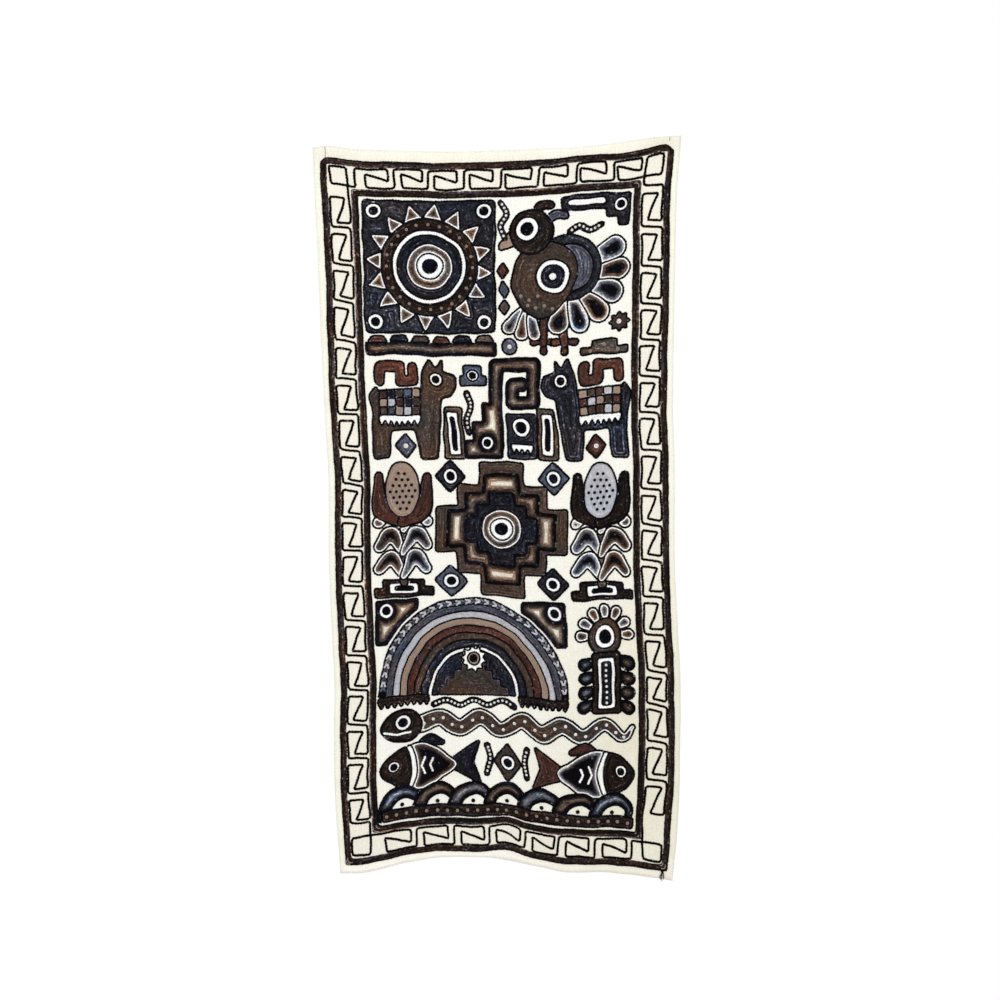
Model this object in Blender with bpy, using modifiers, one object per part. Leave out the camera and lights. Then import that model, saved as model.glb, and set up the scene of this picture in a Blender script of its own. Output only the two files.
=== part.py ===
"""Embroidered wall hanging: one upright cream wool cloth, hung by its two top corners, with two dark
chain-stitched bands and a running fret between them.

Every piece is first laid flat and face up: X across the cloth, Y up it, Z out of its face, with the
middle of the top edge at the origin. hang_up then carries its points to the folds in which the cloth
hangs. There X runs across, +Y into the wall and +Z up, and the middle of the top edge is the origin."""

import math

import bmesh
import bpy
import numpy as np

# The ground cloth, flat, in metres.
CLOTH_WIDTH = 0.90
CLOTH_HEIGHT = 1.82
CLOTH_THICKNESS = 0.0016

# The border, from the cloth's edge inwards.
SIDE_MARGIN = 0.0160
TOP_MARGIN = 0.0280
HEM_MARGIN = 0.0230
OUTER_BAND = 0.0160
SIDE_STRIP = 0.0590
TOP_STRIP = 0.0550
HEM_STRIP = 0.0520
INNER_BAND = 0.0155
BAND_THICKNESS = 0.0020
PIECE_GAP = 0.0003

# The black line of the fret.
FRET_YARN_WIDTH = 0.0036
FRET_YARN_HEIGHT = 0.0018
FRET_LIFT = 0.0006
FRET_FROM_OUTER_BAND = 0.0060
FRET_FROM_INNER_BAND = 0.0045
FRET_CORNER = 0.0045
# A cut corner takes no more than this part of a run.
CORNER_SHARE = 0.4
FRET_STEP_ACROSS = 0.026
FRET_STEP_DOWN = 0.090
CROSSING_RAMP = 0.0090
# A turn is a corner unless the cosine between its two runs is below this.
STRAIGHT_ON = -0.98
WELD = 1e-6

# Cells of the cloth inside the inner band.
FIELD_COLUMNS = 26
FIELD_ROWS = 28
STRIP_CELLS = 2

# How far the middle of the top edge stands in front of the wall.
WALL_TO_TOP_EDGE = 0.016
# The pinned corners lie this close to the wall.
PIN_PROUD = 0.004
# Between the pins the top edge bellies out, and this far down the cloth it has nearly gone.
BELLY = 0.012
BELLY_DEPTH = 0.40
# The cloth's slope is read over this distance each way.
SLOPE_STEP = 0.001

# Hung outline. Columns: distance down the cloth, place across.
LEFT_EDGE = (
    (0.00, -0.4500),
    (0.06, -0.4485),
    (0.25, -0.4405),
    (0.50, -0.4320),
    (0.68, -0.4235),
    (0.80, -0.4170),
    (1.05, -0.4155),
    (1.22, -0.4090),
    (1.33, -0.4035),
    (1.50, -0.4045),
    (1.66, -0.4000),
    (1.76, -0.3925),
    (1.82, -0.3890),
)
RIGHT_EDGE = (
    (0.00, 0.4495),
    (0.04, 0.4470),
    (0.12, 0.4410),
    (0.30, 0.4370),
    (0.55, 0.4340),
    (0.65, 0.4335),
    (0.80, 0.4385),
    (1.05, 0.4400),
    (1.20, 0.4480),
    (1.33, 0.4545),
    (1.50, 0.4540),
    (1.62, 0.4520),
    (1.74, 0.4440),
    (1.82, 0.4350),
)
# Columns: place across the flat cloth, height.
TOP_EDGE = (
    (-0.45, 0.008),
    (-0.42, 0.012),
    (-0.35, 0.004),
    (-0.27, 0.000),
    (-0.10, -0.004),
    (0.00, 0.000),
    (0.10, 0.003),
    (0.22, 0.009),
    (0.30, 0.020),
    (0.38, 0.032),
    (0.45, 0.037),
)
HEM_EDGE = (
    (-0.45, -1.777),
    (-0.37, -1.778),
    (-0.28, -1.765),
    (-0.14, -1.758),
    (-0.04, -1.762),
    (0.06, -1.776),
    (0.15, -1.785),
    (0.28, -1.782),
    (0.37, -1.790),
    (0.45, -1.797),
)
# Soft upright folds. Columns: centre at the top edge, centre at the hem, half width, and how far the
# ridge stands proud at the top edge, halfway down and at the hem.
FOLDS = (
    (-0.495, -0.486, 0.360, 0.002, 0.020, 0.068),
    (-0.203, -0.189, 0.190, 0.005, 0.012, 0.002),
    (0.225, 0.225, 0.225, 0.003, 0.016, 0.042),
    (0.495, 0.504, 0.300, 0.002, 0.024, 0.066),
)

# The outer band's corners are cut off. Columns: side (-1 left), end (1 top), cut across, cut down.
BAND_CORNER_CUTS = (
    (-1, 1, 0.008, 0.007),
    (1, 1, 0.012, 0.006),
)

# The fret along the top and the hem. Columns: number of units, place of the first, pitch, then the
# unit's right side and foot as parts of the pitch, and its tip and notch as parts of the strip.
TOP_UNITS = (8, -0.3480, 0.0899, 0.86, 0.27, 0.31, 0.77)
HEM_UNITS = (7, -0.3470, 0.0972, 0.84, 0.21, 0.31, 0.75)
FOOT_LEAN = 0.04
# The fret down the sides. Columns: number of units, place of the first Z, pitch, then the Z's height
# and the line that crosses below it as parts of the pitch.
LEFT_UNITS = (18, 0.1190, 0.0892, 0.71, 0.80)
RIGHT_UNITS = (17, 0.1345, 0.0911, 0.64, 0.85)
# Where a Z's foot and head end, as parts of the strip.
Z_FOOT_END = 0.29
Z_HEAD_END = 0.69

# Loose yarn ends below the outer band's lower right corner. Columns: place across at the root, at the
# bend and at the tip, and the length hanging down.
TAILS = (
    (-0.0030, -0.0050, -0.0030, 0.015),
    (0.0000, -0.0010, 0.0015, 0.018),
    (0.0030, 0.0045, 0.0050, 0.013),
)
TAIL_ROOT = (0.4220, 1.7990)
TAIL_KNOT_RADIUS = 0.0042
TAIL_KNOT_CLEARANCE = 0.0028
TAIL_KNOT_FLATNESS = 0.5
TAIL_RADIUS = 0.0009
TAIL_TIP_CLEARANCE = 0.0022

PARTS = "embroidered_wall_hanging"


def clear_scene():
    for obj in list(bpy.data.objects):
        bpy.data.objects.remove(obj)


def wool(name, colour, roughness):
    """Undyed or dark-dyed wool, with no metal in it."""
    material = bpy.data.materials.new(name)
    material.use_nodes = True
    shader = material.node_tree.nodes["Principled BSDF"]
    shader.inputs["Base Color"].default_value = (*colour, 1.0)
    shader.inputs["Roughness"].default_value = roughness
    shader.inputs["Metallic"].default_value = 0.0
    return material


def smooth_curve(table, at):
    """The smooth curve through a table's two columns, read at every value of at."""
    places, values = np.array(table, float).T
    slopes = np.gradient(values, places)
    at = np.clip(at, places[0], places[-1])
    row = np.clip(np.searchsorted(places, at) - 1, 0, len(places) - 2)
    span = places[row + 1] - places[row]
    t = (at - places[row]) / span
    return (
        (1 + 2 * t) * (1 - t) ** 2 * values[row]
        + t * (1 - t) ** 2 * span * slopes[row]
        + t * t * (3 - 2 * t) * values[row + 1]
        + t * t * (t - 1) * span * slopes[row + 1]
    )


def proud_of_wall(across, down):
    """How far the cloth stands in front of the wall."""
    part_down = down / CLOTH_HEIGHT
    part_out = 2 * across / CLOTH_WIDTH
    proud = PIN_PROUD + BELLY * (1 - part_out**2) * np.exp(-((down / BELLY_DEPTH) ** 2))
    for top_centre, hem_centre, half_width, at_top, at_middle, at_hem in FOLDS:
        centre = top_centre + (hem_centre - top_centre) * part_down
        ridge = 0.5 + 0.5 * np.cos(np.pi * np.clip(np.abs(across - centre) / half_width, 0, 1))
        height = (
            at_top * (1 - part_down) * (1 - 2 * part_down)
            + at_middle * 4 * part_down * (1 - part_down)
            + at_hem * part_down * (2 * part_down - 1)
        )
        proud = proud + ridge * height
    return proud


def hung_face(across, down):
    """Places on the hung cloth's face, for places on the flat cloth."""
    part_across = across / CLOTH_WIDTH + 0.5
    part_down = down / CLOTH_HEIGHT
    left = smooth_curve(LEFT_EDGE, down)
    right = smooth_curve(RIGHT_EDGE, down)
    top = smooth_curve(TOP_EDGE, across)
    hem = smooth_curve(HEM_EDGE, across)
    x = left + (right - left) * part_across
    y = WALL_TO_TOP_EDGE - proud_of_wall(across, down)
    z = top + (hem - top) * part_down
    return np.stack([x, y, z], axis=-1)


def hang_up(mesh):
    """Carries a flat piece's points to the hung cloth, each as far off the face as it lay before."""
    flat = np.empty(len(mesh.vertices) * 3)
    mesh.vertices.foreach_get("co", flat)
    flat = flat.reshape(-1, 3)
    across = flat[:, 0]
    down = -flat[:, 1]
    step = SLOPE_STEP
    along = hung_face(across + step, down) - hung_face(across - step, down)
    upward = hung_face(across, down - step) - hung_face(across, down + step)
    outward = np.cross(along, upward)
    outward /= np.linalg.norm(outward, axis=1, keepdims=True)
    hung = hung_face(across, down) + outward * flat[:, 2:3]
    mesh.vertices.foreach_set("co", hung.ravel())
    mesh.update()


def add_piece(name, mesh, material, collection):
    piece = bpy.data.objects.new(name, mesh)
    piece.data.materials.clear()
    piece.data.materials.append(material)
    collection.objects.link(piece)
    return piece


def spread(start, end, cells):
    """The lines between start and end that cut it into equal cells, without the last one."""
    return [start + (end - start) * i / cells for i in range(cells)]


def grid_lines(size, near, far, field_cells):
    """The places of the lines that cut one side of the cloth into cells.

    near and far hold the widths of margin, outer band, strip and inner band at its two ends."""
    near_edges = [0.0]
    for width in near:
        near_edges.append(near_edges[-1] + width)
    far_edges = [size]
    for width in far:
        far_edges.append(far_edges[-1] - width)
    far_edges.reverse()
    cells = [1, 1, STRIP_CELLS, 1]
    lines = []
    edges = near_edges + far_edges
    for start, end, count in zip(edges[:-1], edges[1:], cells + [field_cells] + cells[::-1]):
        lines += spread(start, end, count)
    lines.append(size)
    return lines


def cloth_lines():
    """The lines along which the cloth and the bands are cut into cells: (across, down)."""
    sides = (SIDE_MARGIN, OUTER_BAND, SIDE_STRIP, INNER_BAND)
    top = (TOP_MARGIN, OUTER_BAND, TOP_STRIP, INNER_BAND)
    hem = (HEM_MARGIN, OUTER_BAND, HEM_STRIP, INNER_BAND)
    across = [x - CLOTH_WIDTH / 2 for x in grid_lines(CLOTH_WIDTH, sides, sides, FIELD_COLUMNS)]
    down = grid_lines(CLOTH_HEIGHT, top, hem, FIELD_ROWS)
    return across, down


def flat_grid(lift):
    """The whole cloth as a flat grid of cells, lift above its face, as an open bmesh."""
    across, down = cloth_lines()
    sheet = bmesh.new()
    columns = len(across) - 1
    rows = len(down) - 1
    bmesh.ops.create_grid(sheet, x_segments=columns, y_segments=rows, size=1.0)
    for vert in sheet.verts:
        column = round((vert.co.x + 1) / 2 * columns)
        row = rows - round((vert.co.y + 1) / 2 * rows)
        vert.co = (across[column], -down[row], lift)
    return sheet


def ring_of(inset_sides, inset_top, inset_hem, width):
    """The outer and inner rectangles of a band: each (left, right, top, hem) on the flat cloth."""
    outer = (
        inset_sides - CLOTH_WIDTH / 2,
        CLOTH_WIDTH / 2 - inset_sides,
        inset_top,
        CLOTH_HEIGHT - inset_hem,
    )
    inner = (outer[0] + width, outer[1] - width, outer[2] + width, outer[3] - width)
    return outer, inner


def inside(place, rectangle):
    left, right, top, hem = rectangle
    return left < place.x < right and top < -place.y < hem


def make_ground_cloth(material, collection):
    """Plain woven wool in one piece. Its face is the hung face, and its thickness lies behind."""
    sheet = flat_grid(0.0)
    mesh = bpy.data.meshes.new("ground_cloth")
    sheet.to_mesh(mesh)
    sheet.free()
    hang_up(mesh)
    piece = add_piece("ground_cloth", mesh, material, collection)
    thicken(piece, CLOTH_THICKNESS, -1)
    return piece


def thicken(piece, thickness, side):
    """Gives a hung surface its thickness, towards its back (-1) or out of its face (1)."""
    solid = piece.modifiers.new("thickness", "SOLIDIFY")
    solid.thickness = thickness
    solid.offset = side
    piece.data.shade_smooth()


def make_band(name, insets, width, corner_cuts, material, collection):
    """Rows of thick yarn stitched side by side into one raised ring on the cloth's face."""
    outer, inner = ring_of(*insets, width)
    sheet = flat_grid(PIECE_GAP)
    unwanted = []
    for face in sheet.faces:
        centre = face.calc_center_median()
        if not inside(centre, outer) or inside(centre, inner):
            unwanted.append(face)
    bmesh.ops.delete(sheet, geom=unwanted, context="FACES")
    for side, end, cut_across, cut_down in corner_cuts:
        corner_x = outer[1] if side > 0 else outer[0]
        corner_y = -outer[2] if end > 0 else -outer[3]
        for vert in sheet.verts:
            if math.hypot(vert.co.x - corner_x, vert.co.y - corner_y) < width / 4:
                vert.co.x -= side * cut_across / 2
                vert.co.y -= end * cut_down / 2
    mesh = bpy.data.meshes.new(name)
    sheet.to_mesh(mesh)
    sheet.free()
    hang_up(mesh)
    piece = add_piece(name, mesh, material, collection)
    thicken(piece, BAND_THICKNESS, 1)
    return piece


def fret_rails():
    """Where the fret's line runs beside each band: outer and inner place for each side."""
    from_band = FRET_FROM_OUTER_BAND
    to_band = FRET_FROM_INNER_BAND
    side_out = CLOTH_WIDTH / 2 - SIDE_MARGIN - OUTER_BAND - from_band
    side_in = CLOTH_WIDTH / 2 - SIDE_MARGIN - OUTER_BAND - SIDE_STRIP + to_band
    top_out = TOP_MARGIN + OUTER_BAND + from_band
    top_in = TOP_MARGIN + OUTER_BAND + TOP_STRIP - to_band
    hem_out = CLOTH_HEIGHT - HEM_MARGIN - OUTER_BAND - from_band
    hem_in = CLOTH_HEIGHT - HEM_MARGIN - OUTER_BAND - HEM_STRIP + to_band
    return side_out, side_in, top_out, top_in, hem_out, hem_in


def level_units(units, near_rail, far_rail):
    """Units of the top and hem strips. Each rises from near_rail to far_rail, runs along it, comes down
    its right side, slants back up to the left and drops to the near rail again."""
    count, first, pitch, side_at, foot_at, tip_at, notch_at = units
    height = far_rail - near_rail
    route = []
    for i in range(count):
        start = first + i * pitch
        route += [
            (start, near_rail),
            (start, far_rail),
            (start + side_at * pitch, far_rail),
            (start + side_at * pitch, near_rail + tip_at * height),
            (start + foot_at * pitch, near_rail + notch_at * height),
            (start + (foot_at + FOOT_LEAN) * pitch, near_rail),
        ]
    return route


def upright_units(units, left_rail, right_rail):
    """Units of the side strips. Each comes down the right rail, turns left along the foot of a Z, slants
    up to its head, runs left along that, comes down the left rail and crosses back to the right."""
    count, first, pitch, z_height, crossing_at = units
    width = right_rail - left_rail
    route = []
    for i in range(count):
        head = first + i * pitch
        foot = head + z_height * pitch
        crossing = head + crossing_at * pitch
        route += [
            (right_rail, foot),
            (left_rail + Z_FOOT_END * width, foot),
            (left_rail + Z_HEAD_END * width, head),
            (left_rail, head),
            (left_rail, crossing),
            (right_rail, crossing),
        ]
    return route


def passing_over(corner, direction):
    """Four points on which the line climbs over its own first pass at a corner, moving in direction."""
    lift = FRET_YARN_HEIGHT + PIECE_GAP
    steps = ((-CROSSING_RAMP, 0.0), (-FRET_YARN_WIDTH, lift), (FRET_YARN_WIDTH, lift), (CROSSING_RAMP, 0.0))
    return [(corner[0] + direction[0] * reach, corner[1] + direction[1] * reach, up) for reach, up in steps]


def fret_route():
    """The fret's one closed line, clockwise from the top left corner: across, down, extra height.

    At each corner it runs on past the crossing, round a square and back over itself."""
    side_out, side_in, top_out, top_in, hem_out, hem_in = fret_rails()
    rightwards, leftwards, downwards, upwards = (1, 0), (-1, 0), (0, 1), (0, -1)

    route = passing_over((-side_in, top_in), rightwards)
    route += level_units(TOP_UNITS, top_in, top_out)
    route += [(side_out, top_in), (side_out, top_out), (side_in, top_out)]

    route += passing_over((side_in, top_in), downwards)
    count, first, pitch, z_height, crossing_at = RIGHT_UNITS
    first_crossing = first - (1 - crossing_at) * pitch
    route += [(side_in, first_crossing), (side_out, first_crossing)]
    route += upright_units(RIGHT_UNITS, side_in, side_out)[:-2]
    route += [(side_in, hem_out), (side_out, hem_out), (side_out, hem_in)]

    route += passing_over((side_in, hem_in), leftwards)
    count, first, pitch = HEM_UNITS[:3]
    last = first + count * pitch
    hem = level_units(HEM_UNITS, hem_out, hem_in)[2:]
    hem += [(last, hem_out), (last, hem_in)]
    route += hem[::-1]
    route += [(-side_out, hem_in), (-side_out, hem_out), (-side_in, hem_out)]

    route += passing_over((-side_in, hem_in), upwards)
    route += upright_units(LEFT_UNITS, -side_out, -side_in)[::-1]
    route += [(-side_in, top_out), (-side_out, top_out), (-side_out, top_in)]
    return [np.array((*point, 0.0)[:3]) for point in route]


def softened(route):
    """The closed route with each corner cut off, and with long runs divided so that they follow the
    folds."""
    soft = []
    for i, corner in enumerate(route):
        before = route[i - 1] - corner
        after = route[(i + 1) % len(route)] - corner
        before_reach = np.linalg.norm(before)
        after_reach = np.linalg.norm(after)
        if np.dot(before, after) < STRAIGHT_ON * before_reach * after_reach:
            soft.append(corner)
            continue
        soft.append(corner + before * min(FRET_CORNER / before_reach, CORNER_SHARE))
        soft.append(corner + after * min(FRET_CORNER / after_reach, CORNER_SHARE))
    divided = []
    for i, start in enumerate(soft):
        end = soft[(i + 1) % len(soft)]
        run = np.abs(end - start)
        pieces = math.ceil(max(run[0] / FRET_STEP_ACROSS, run[1] / FRET_STEP_DOWN))
        divided += [start + (end - start) * j / pieces for j in range(pieces)]
    return divided


def poly_curve(name, points, closed=False):
    """A curve of straight runs through three-dimensional points."""
    curve = bpy.data.curves.new(name, "CURVE")
    curve.dimensions = "3D"
    spline = curve.splines.new("POLY")
    spline.points.add(len(points) - 1)
    for point, place in zip(spline.points, points):
        point.co = (*place, 1.0)
    spline.use_cyclic_u = closed
    return curve


def mesh_of(obj):
    """The evaluated object as a mesh of its own, with its loose caps welded on."""
    graph = bpy.context.evaluated_depsgraph_get()
    mesh = bpy.data.meshes.new_from_object(obj.evaluated_get(graph))
    body = bmesh.new()
    body.from_mesh(mesh)
    bmesh.ops.remove_doubles(body, verts=body.verts, dist=WELD)
    bmesh.ops.recalc_face_normals(body, faces=body.faces)
    body.to_mesh(mesh)
    body.free()
    return mesh


def make_fret(material, collection):
    """One running line of black chain stitch, flat underneath, with a square at each corner."""
    half = FRET_YARN_WIDTH / 2
    section = poly_curve("fret_section", [(-half, 0, 0), (half, 0, 0), (0, FRET_YARN_HEIGHT, 0)], True)
    section_object = bpy.data.objects.new("fret_section", section)
    bpy.context.scene.collection.objects.link(section_object)
    places = [(across, -down, FRET_LIFT + up) for across, down, up in softened(fret_route())]
    curve = poly_curve("fret_line", places, True)
    curve.twist_mode = "Z_UP"
    curve.bevel_mode = "OBJECT"
    curve.bevel_object = section_object
    line = bpy.data.objects.new("fret_line_flat", curve)
    bpy.context.scene.collection.objects.link(line)
    bpy.context.view_layer.update()
    mesh = mesh_of(line)
    bpy.data.objects.remove(line)
    bpy.data.objects.remove(section_object)
    hang_up(mesh)
    return add_piece("fret_line", mesh, material, collection)


def united(meshes, name):
    """One mesh from overlapping closed meshes."""
    base = bpy.data.objects.new(name, meshes[0])
    bpy.context.scene.collection.objects.link(base)
    helpers = []
    for mesh in meshes[1:]:
        helper = bpy.data.objects.new(name + "_joined", mesh)
        bpy.context.scene.collection.objects.link(helper)
        helpers.append(helper)
        union = base.modifiers.new("union", "BOOLEAN")
        union.operation = "UNION"
        union.object = helper
    bpy.context.view_layer.update()
    mesh = mesh_of(base)
    for obj in (base, *helpers):
        bpy.data.objects.remove(obj)
    return mesh


def make_yarn_tails(material, collection):
    """The border yarn's cut ends, knotted together under the band and hanging over the margin."""
    root_x, root_down = TAIL_ROOT
    knot = bmesh.new()
    bmesh.ops.create_icosphere(knot, subdivisions=1, radius=TAIL_KNOT_RADIUS)
    for vert in knot.verts:
        vert.co.z *= TAIL_KNOT_FLATNESS
        vert.co.x += root_x
        vert.co.y -= root_down + TAIL_KNOT_RADIUS
        vert.co.z += TAIL_KNOT_CLEARANCE
    knot_mesh = bpy.data.meshes.new("tail_knot")
    knot.to_mesh(knot_mesh)
    knot.free()
    meshes = [knot_mesh]
    for number, (root, bend, tip, length) in enumerate(TAILS):
        start = root_down + TAIL_KNOT_RADIUS
        points = [
            (root_x + root, -start, TAIL_KNOT_CLEARANCE),
            (root_x + bend, -start - length / 2, TAIL_KNOT_CLEARANCE),
            (root_x + tip, -start - length, TAIL_TIP_CLEARANCE),
        ]
        curve = poly_curve(f"tail_{number}", points)
        curve.bevel_depth = TAIL_RADIUS
        curve.bevel_resolution = 0
        curve.use_fill_caps = True
        strand = bpy.data.objects.new(f"tail_{number}", curve)
        bpy.context.scene.collection.objects.link(strand)
        bpy.context.view_layer.update()
        meshes.append(mesh_of(strand))
        bpy.data.objects.remove(strand)
    mesh = united(meshes, "yarn_tails")
    hang_up(mesh)
    mesh.name = "yarn_tails"
    return add_piece("yarn_tails", mesh, material, collection)


clear_scene()
parts = bpy.data.collections.new(PARTS)
bpy.context.scene.collection.children.link(parts)

cream = wool("cream_wool", (0.90, 0.86, 0.74), 0.9)
dark_brown = wool("dark_brown_wool", (0.045, 0.030, 0.024), 0.85)
black = wool("black_wool", (0.012, 0.011, 0.013), 0.85)

make_ground_cloth(cream, parts)
outer_insets = (SIDE_MARGIN, TOP_MARGIN, HEM_MARGIN)
make_band("outer_band", outer_insets, OUTER_BAND, BAND_CORNER_CUTS, dark_brown, parts)
inner_insets = (
    SIDE_MARGIN + OUTER_BAND + SIDE_STRIP,
    TOP_MARGIN + OUTER_BAND + TOP_STRIP,
    HEM_MARGIN + OUTER_BAND + HEM_STRIP,
)
make_band("inner_band", inner_insets, INNER_BAND, (), dark_brown, parts)
make_fret(black, parts)
make_yarn_tails(black, parts)
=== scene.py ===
"""Embroidered wall hanging: a tall cream wool cloth hung by its two top corners, chain stitched in dark wool
with a fret border between two bands, and a field of figures from a sun and a bird down to fish and waves."""

import math

import bpy
import numpy as np
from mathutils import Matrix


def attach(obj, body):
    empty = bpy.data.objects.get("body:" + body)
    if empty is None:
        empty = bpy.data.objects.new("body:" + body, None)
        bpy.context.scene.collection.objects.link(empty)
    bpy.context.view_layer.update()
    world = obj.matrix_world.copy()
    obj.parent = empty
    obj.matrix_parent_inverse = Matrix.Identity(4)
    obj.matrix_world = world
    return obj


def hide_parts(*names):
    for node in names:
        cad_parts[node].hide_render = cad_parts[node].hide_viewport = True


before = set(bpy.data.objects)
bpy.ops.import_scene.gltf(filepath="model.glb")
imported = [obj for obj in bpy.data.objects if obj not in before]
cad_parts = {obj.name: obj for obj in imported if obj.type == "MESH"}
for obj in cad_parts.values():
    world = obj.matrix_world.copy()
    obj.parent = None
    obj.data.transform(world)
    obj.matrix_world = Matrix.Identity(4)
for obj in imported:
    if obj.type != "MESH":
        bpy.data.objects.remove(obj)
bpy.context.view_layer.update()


# Ground cloth. One upright rectangle of plain woven cream wool, about 1.6 mm thick, cut to size and hung on
# a wall by its top corners: the top edge sags between them, and soft folds open towards the hem.
CLOTH_WIDTH = 0.90
CLOTH_HEIGHT = 1.82
CLOTH_THICKNESS = 0.0016
CLOTH_COLUMNS = 96
CLOTH_ROWS = 194

WALL_TO_TOP_EDGE = 0.016
TOP_CORNERS_PROUD = 0.004
BELLY = 0.012
BELLY_DEPTH = 0.40
SLOPE_STEP = 0.001

# Hung outline. Columns: distance down the cloth, place across.
LEFT_EDGE = (
    (0.00, -0.4500), (0.06, -0.4485), (0.25, -0.4405), (0.50, -0.4320), (0.68, -0.4235),
    (0.80, -0.4170), (1.05, -0.4155), (1.22, -0.4090), (1.33, -0.4035), (1.50, -0.4045),
    (1.66, -0.4000), (1.76, -0.3925), (1.82, -0.3890),
)
RIGHT_EDGE = (
    (0.00, 0.4495), (0.04, 0.4470), (0.12, 0.4410), (0.30, 0.4370), (0.55, 0.4340),
    (0.65, 0.4335), (0.80, 0.4385), (1.05, 0.4400), (1.20, 0.4480), (1.33, 0.4545),
    (1.50, 0.4540), (1.62, 0.4520), (1.74, 0.4440), (1.82, 0.4350),
)
# Columns: place across the flat cloth, height.
TOP_EDGE = (
    (-0.45, 0.008), (-0.42, 0.012), (-0.35, 0.004), (-0.27, 0.000), (-0.10, -0.004), (0.00, 0.000),
    (0.10, 0.003), (0.22, 0.009), (0.30, 0.020), (0.38, 0.032), (0.45, 0.037),
)
HEM_EDGE = (
    (-0.45, -1.777), (-0.37, -1.778), (-0.28, -1.765), (-0.14, -1.758), (-0.04, -1.762),
    (0.06, -1.776), (0.15, -1.785), (0.28, -1.782), (0.37, -1.790), (0.45, -1.797),
)
# Soft upright folds. Columns: centre at the top edge, centre at the hem, half width, and how far the
# ridge stands proud at the top edge, halfway down and at the hem.
FOLDS = (
    (-0.495, -0.486, 0.360, 0.002, 0.020, 0.068),
    (-0.203, -0.189, 0.190, 0.005, 0.012, 0.002),
    (0.225, 0.225, 0.225, 0.003, 0.016, 0.042),
    (0.495, 0.504, 0.300, 0.002, 0.024, 0.066),
)
# Small creases. Columns: across, down, lean from upright in degrees, half length, half width, height.
CREASES = (
    (-0.395, 0.110, -38, 0.110, 0.028, 0.0022),
    (0.400, 0.100, 40, 0.120, 0.028, 0.0024),
    (-0.290, 0.330, -12, 0.170, 0.040, -0.0018),
    (0.300, 0.420, 8, 0.200, 0.045, 0.0020),
    (0.060, 0.700, 80, 0.260, 0.045, 0.0016),
    (-0.330, 0.900, 5, 0.220, 0.040, 0.0018),
    (0.355, 1.130, -6, 0.240, 0.045, -0.0020),
    (-0.080, 1.240, 76, 0.240, 0.050, -0.0016),
    (0.100, 1.560, 4, 0.180, 0.045, 0.0022),
    (-0.300, 1.600, -8, 0.170, 0.040, 0.0020),
    (0.400, 1.560, 10, 0.180, 0.035, 0.0022),
)
# The margin outside the stitching ripples. Columns: ripples a metre, height, phase.
RIPPLES = ((7.1, 0.0012, 0.4), (12.7, 0.0008, 2.1))
RIPPLE_REACH = 0.045
# Where the stitching draws the weave out of true. Columns: across, down, reach across, reach down, then how
# far it is drawn across and down.
PULLS = (
    (0.205, 0.070, 0.075, 0.110, 0.0, -0.0082),
    (0.4165, 0.030, 0.045, 0.040, 0.0018, -0.0095),
    (-0.110, 1.790, 0.070, 0.100, 0.0, 0.0060),
    (0.000, 1.770, 0.036, 0.110, 0.0, -0.0085),
    (0.180, 1.735, 0.040, 0.045, 0.0, -0.0050),
    (-0.362, 1.800, 0.030, 0.030, 0.0, -0.0030),
    (-0.365, 1.735, 0.045, 0.040, 0.0, -0.0062),
    (-0.420, 0.280, 0.070, 0.170, 0.0024, 0.0),
    (-0.420, 0.640, 0.070, 0.100, -0.0020, 0.0),
    (0.420, 0.370, 0.070, 0.130, 0.0022, 0.0),
    (0.420, 1.020, 0.070, 0.080, 0.0026, 0.0),
    (0.420, 1.520, 0.070, 0.080, 0.0030, 0.0),
    (0.385, 1.665, 0.075, 0.060, -0.0030, 0.0),
)
PULL_FREE_EDGE = 0.018


def smooth_curve(table, at):
    """The smooth curve through a table's two columns, read at every value of at."""
    places, values = np.array(table, float).T
    slopes = np.gradient(values, places)
    at = np.clip(at, places[0], places[-1])
    row = np.clip(np.searchsorted(places, at) - 1, 0, len(places) - 2)
    span = places[row + 1] - places[row]
    t = (at - places[row]) / span
    return (
        (1 + 2 * t) * (1 - t) ** 2 * values[row]
        + t * (1 - t) ** 2 * span * slopes[row]
        + t * t * (3 - 2 * t) * values[row + 1]
        + t * t * (t - 1) * span * slopes[row + 1]
    )


def small_folds(across, down):
    """Creases and edge ripples, on top of the main folds."""
    height = 0.0
    for x, y, lean, half_length, half_width, proud in CREASES:
        c, s = math.cos(math.radians(lean)), math.sin(math.radians(lean))
        along = (down - y) * c + (across - x) * s
        beside = (across - x) * c - (down - y) * s
        height = height + proud * np.exp(-((along / half_length) ** 2) * 2 - (beside / half_width) ** 2 * 2)
    side_gap = CLOTH_WIDTH / 2 - np.abs(across)
    hem_gap = CLOTH_HEIGHT - down
    for per_metre, proud, phase in RIPPLES:
        turn = 2 * math.pi * per_metre
        height = height + proud * np.sin(turn * down + phase) * np.exp(-((side_gap / RIPPLE_REACH) ** 2))
        height = height + proud * np.sin(turn * across + phase) * np.exp(-((hem_gap / RIPPLE_REACH) ** 2))
    return height


def proud_of_wall(across, down):
    """How far the cloth stands in front of the wall."""
    part_down = down / CLOTH_HEIGHT
    part_out = 2 * across / CLOTH_WIDTH
    proud = TOP_CORNERS_PROUD + BELLY * (1 - part_out**2) * np.exp(-((down / BELLY_DEPTH) ** 2))
    for top_centre, hem_centre, half_width, at_top, loop_shade_along, at_hem in FOLDS:
        centre = top_centre + (hem_centre - top_centre) * part_down
        ridge = 0.5 + 0.5 * np.cos(np.pi * np.clip(np.abs(across - centre) / half_width, 0, 1))
        height = (
            at_top * (1 - part_down) * (1 - 2 * part_down)
            + loop_shade_along * 4 * part_down * (1 - part_down)
            + at_hem * part_down * (2 * part_down - 1)
        )
        proud = proud + ridge * height
    return proud + small_folds(across, down)


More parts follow.
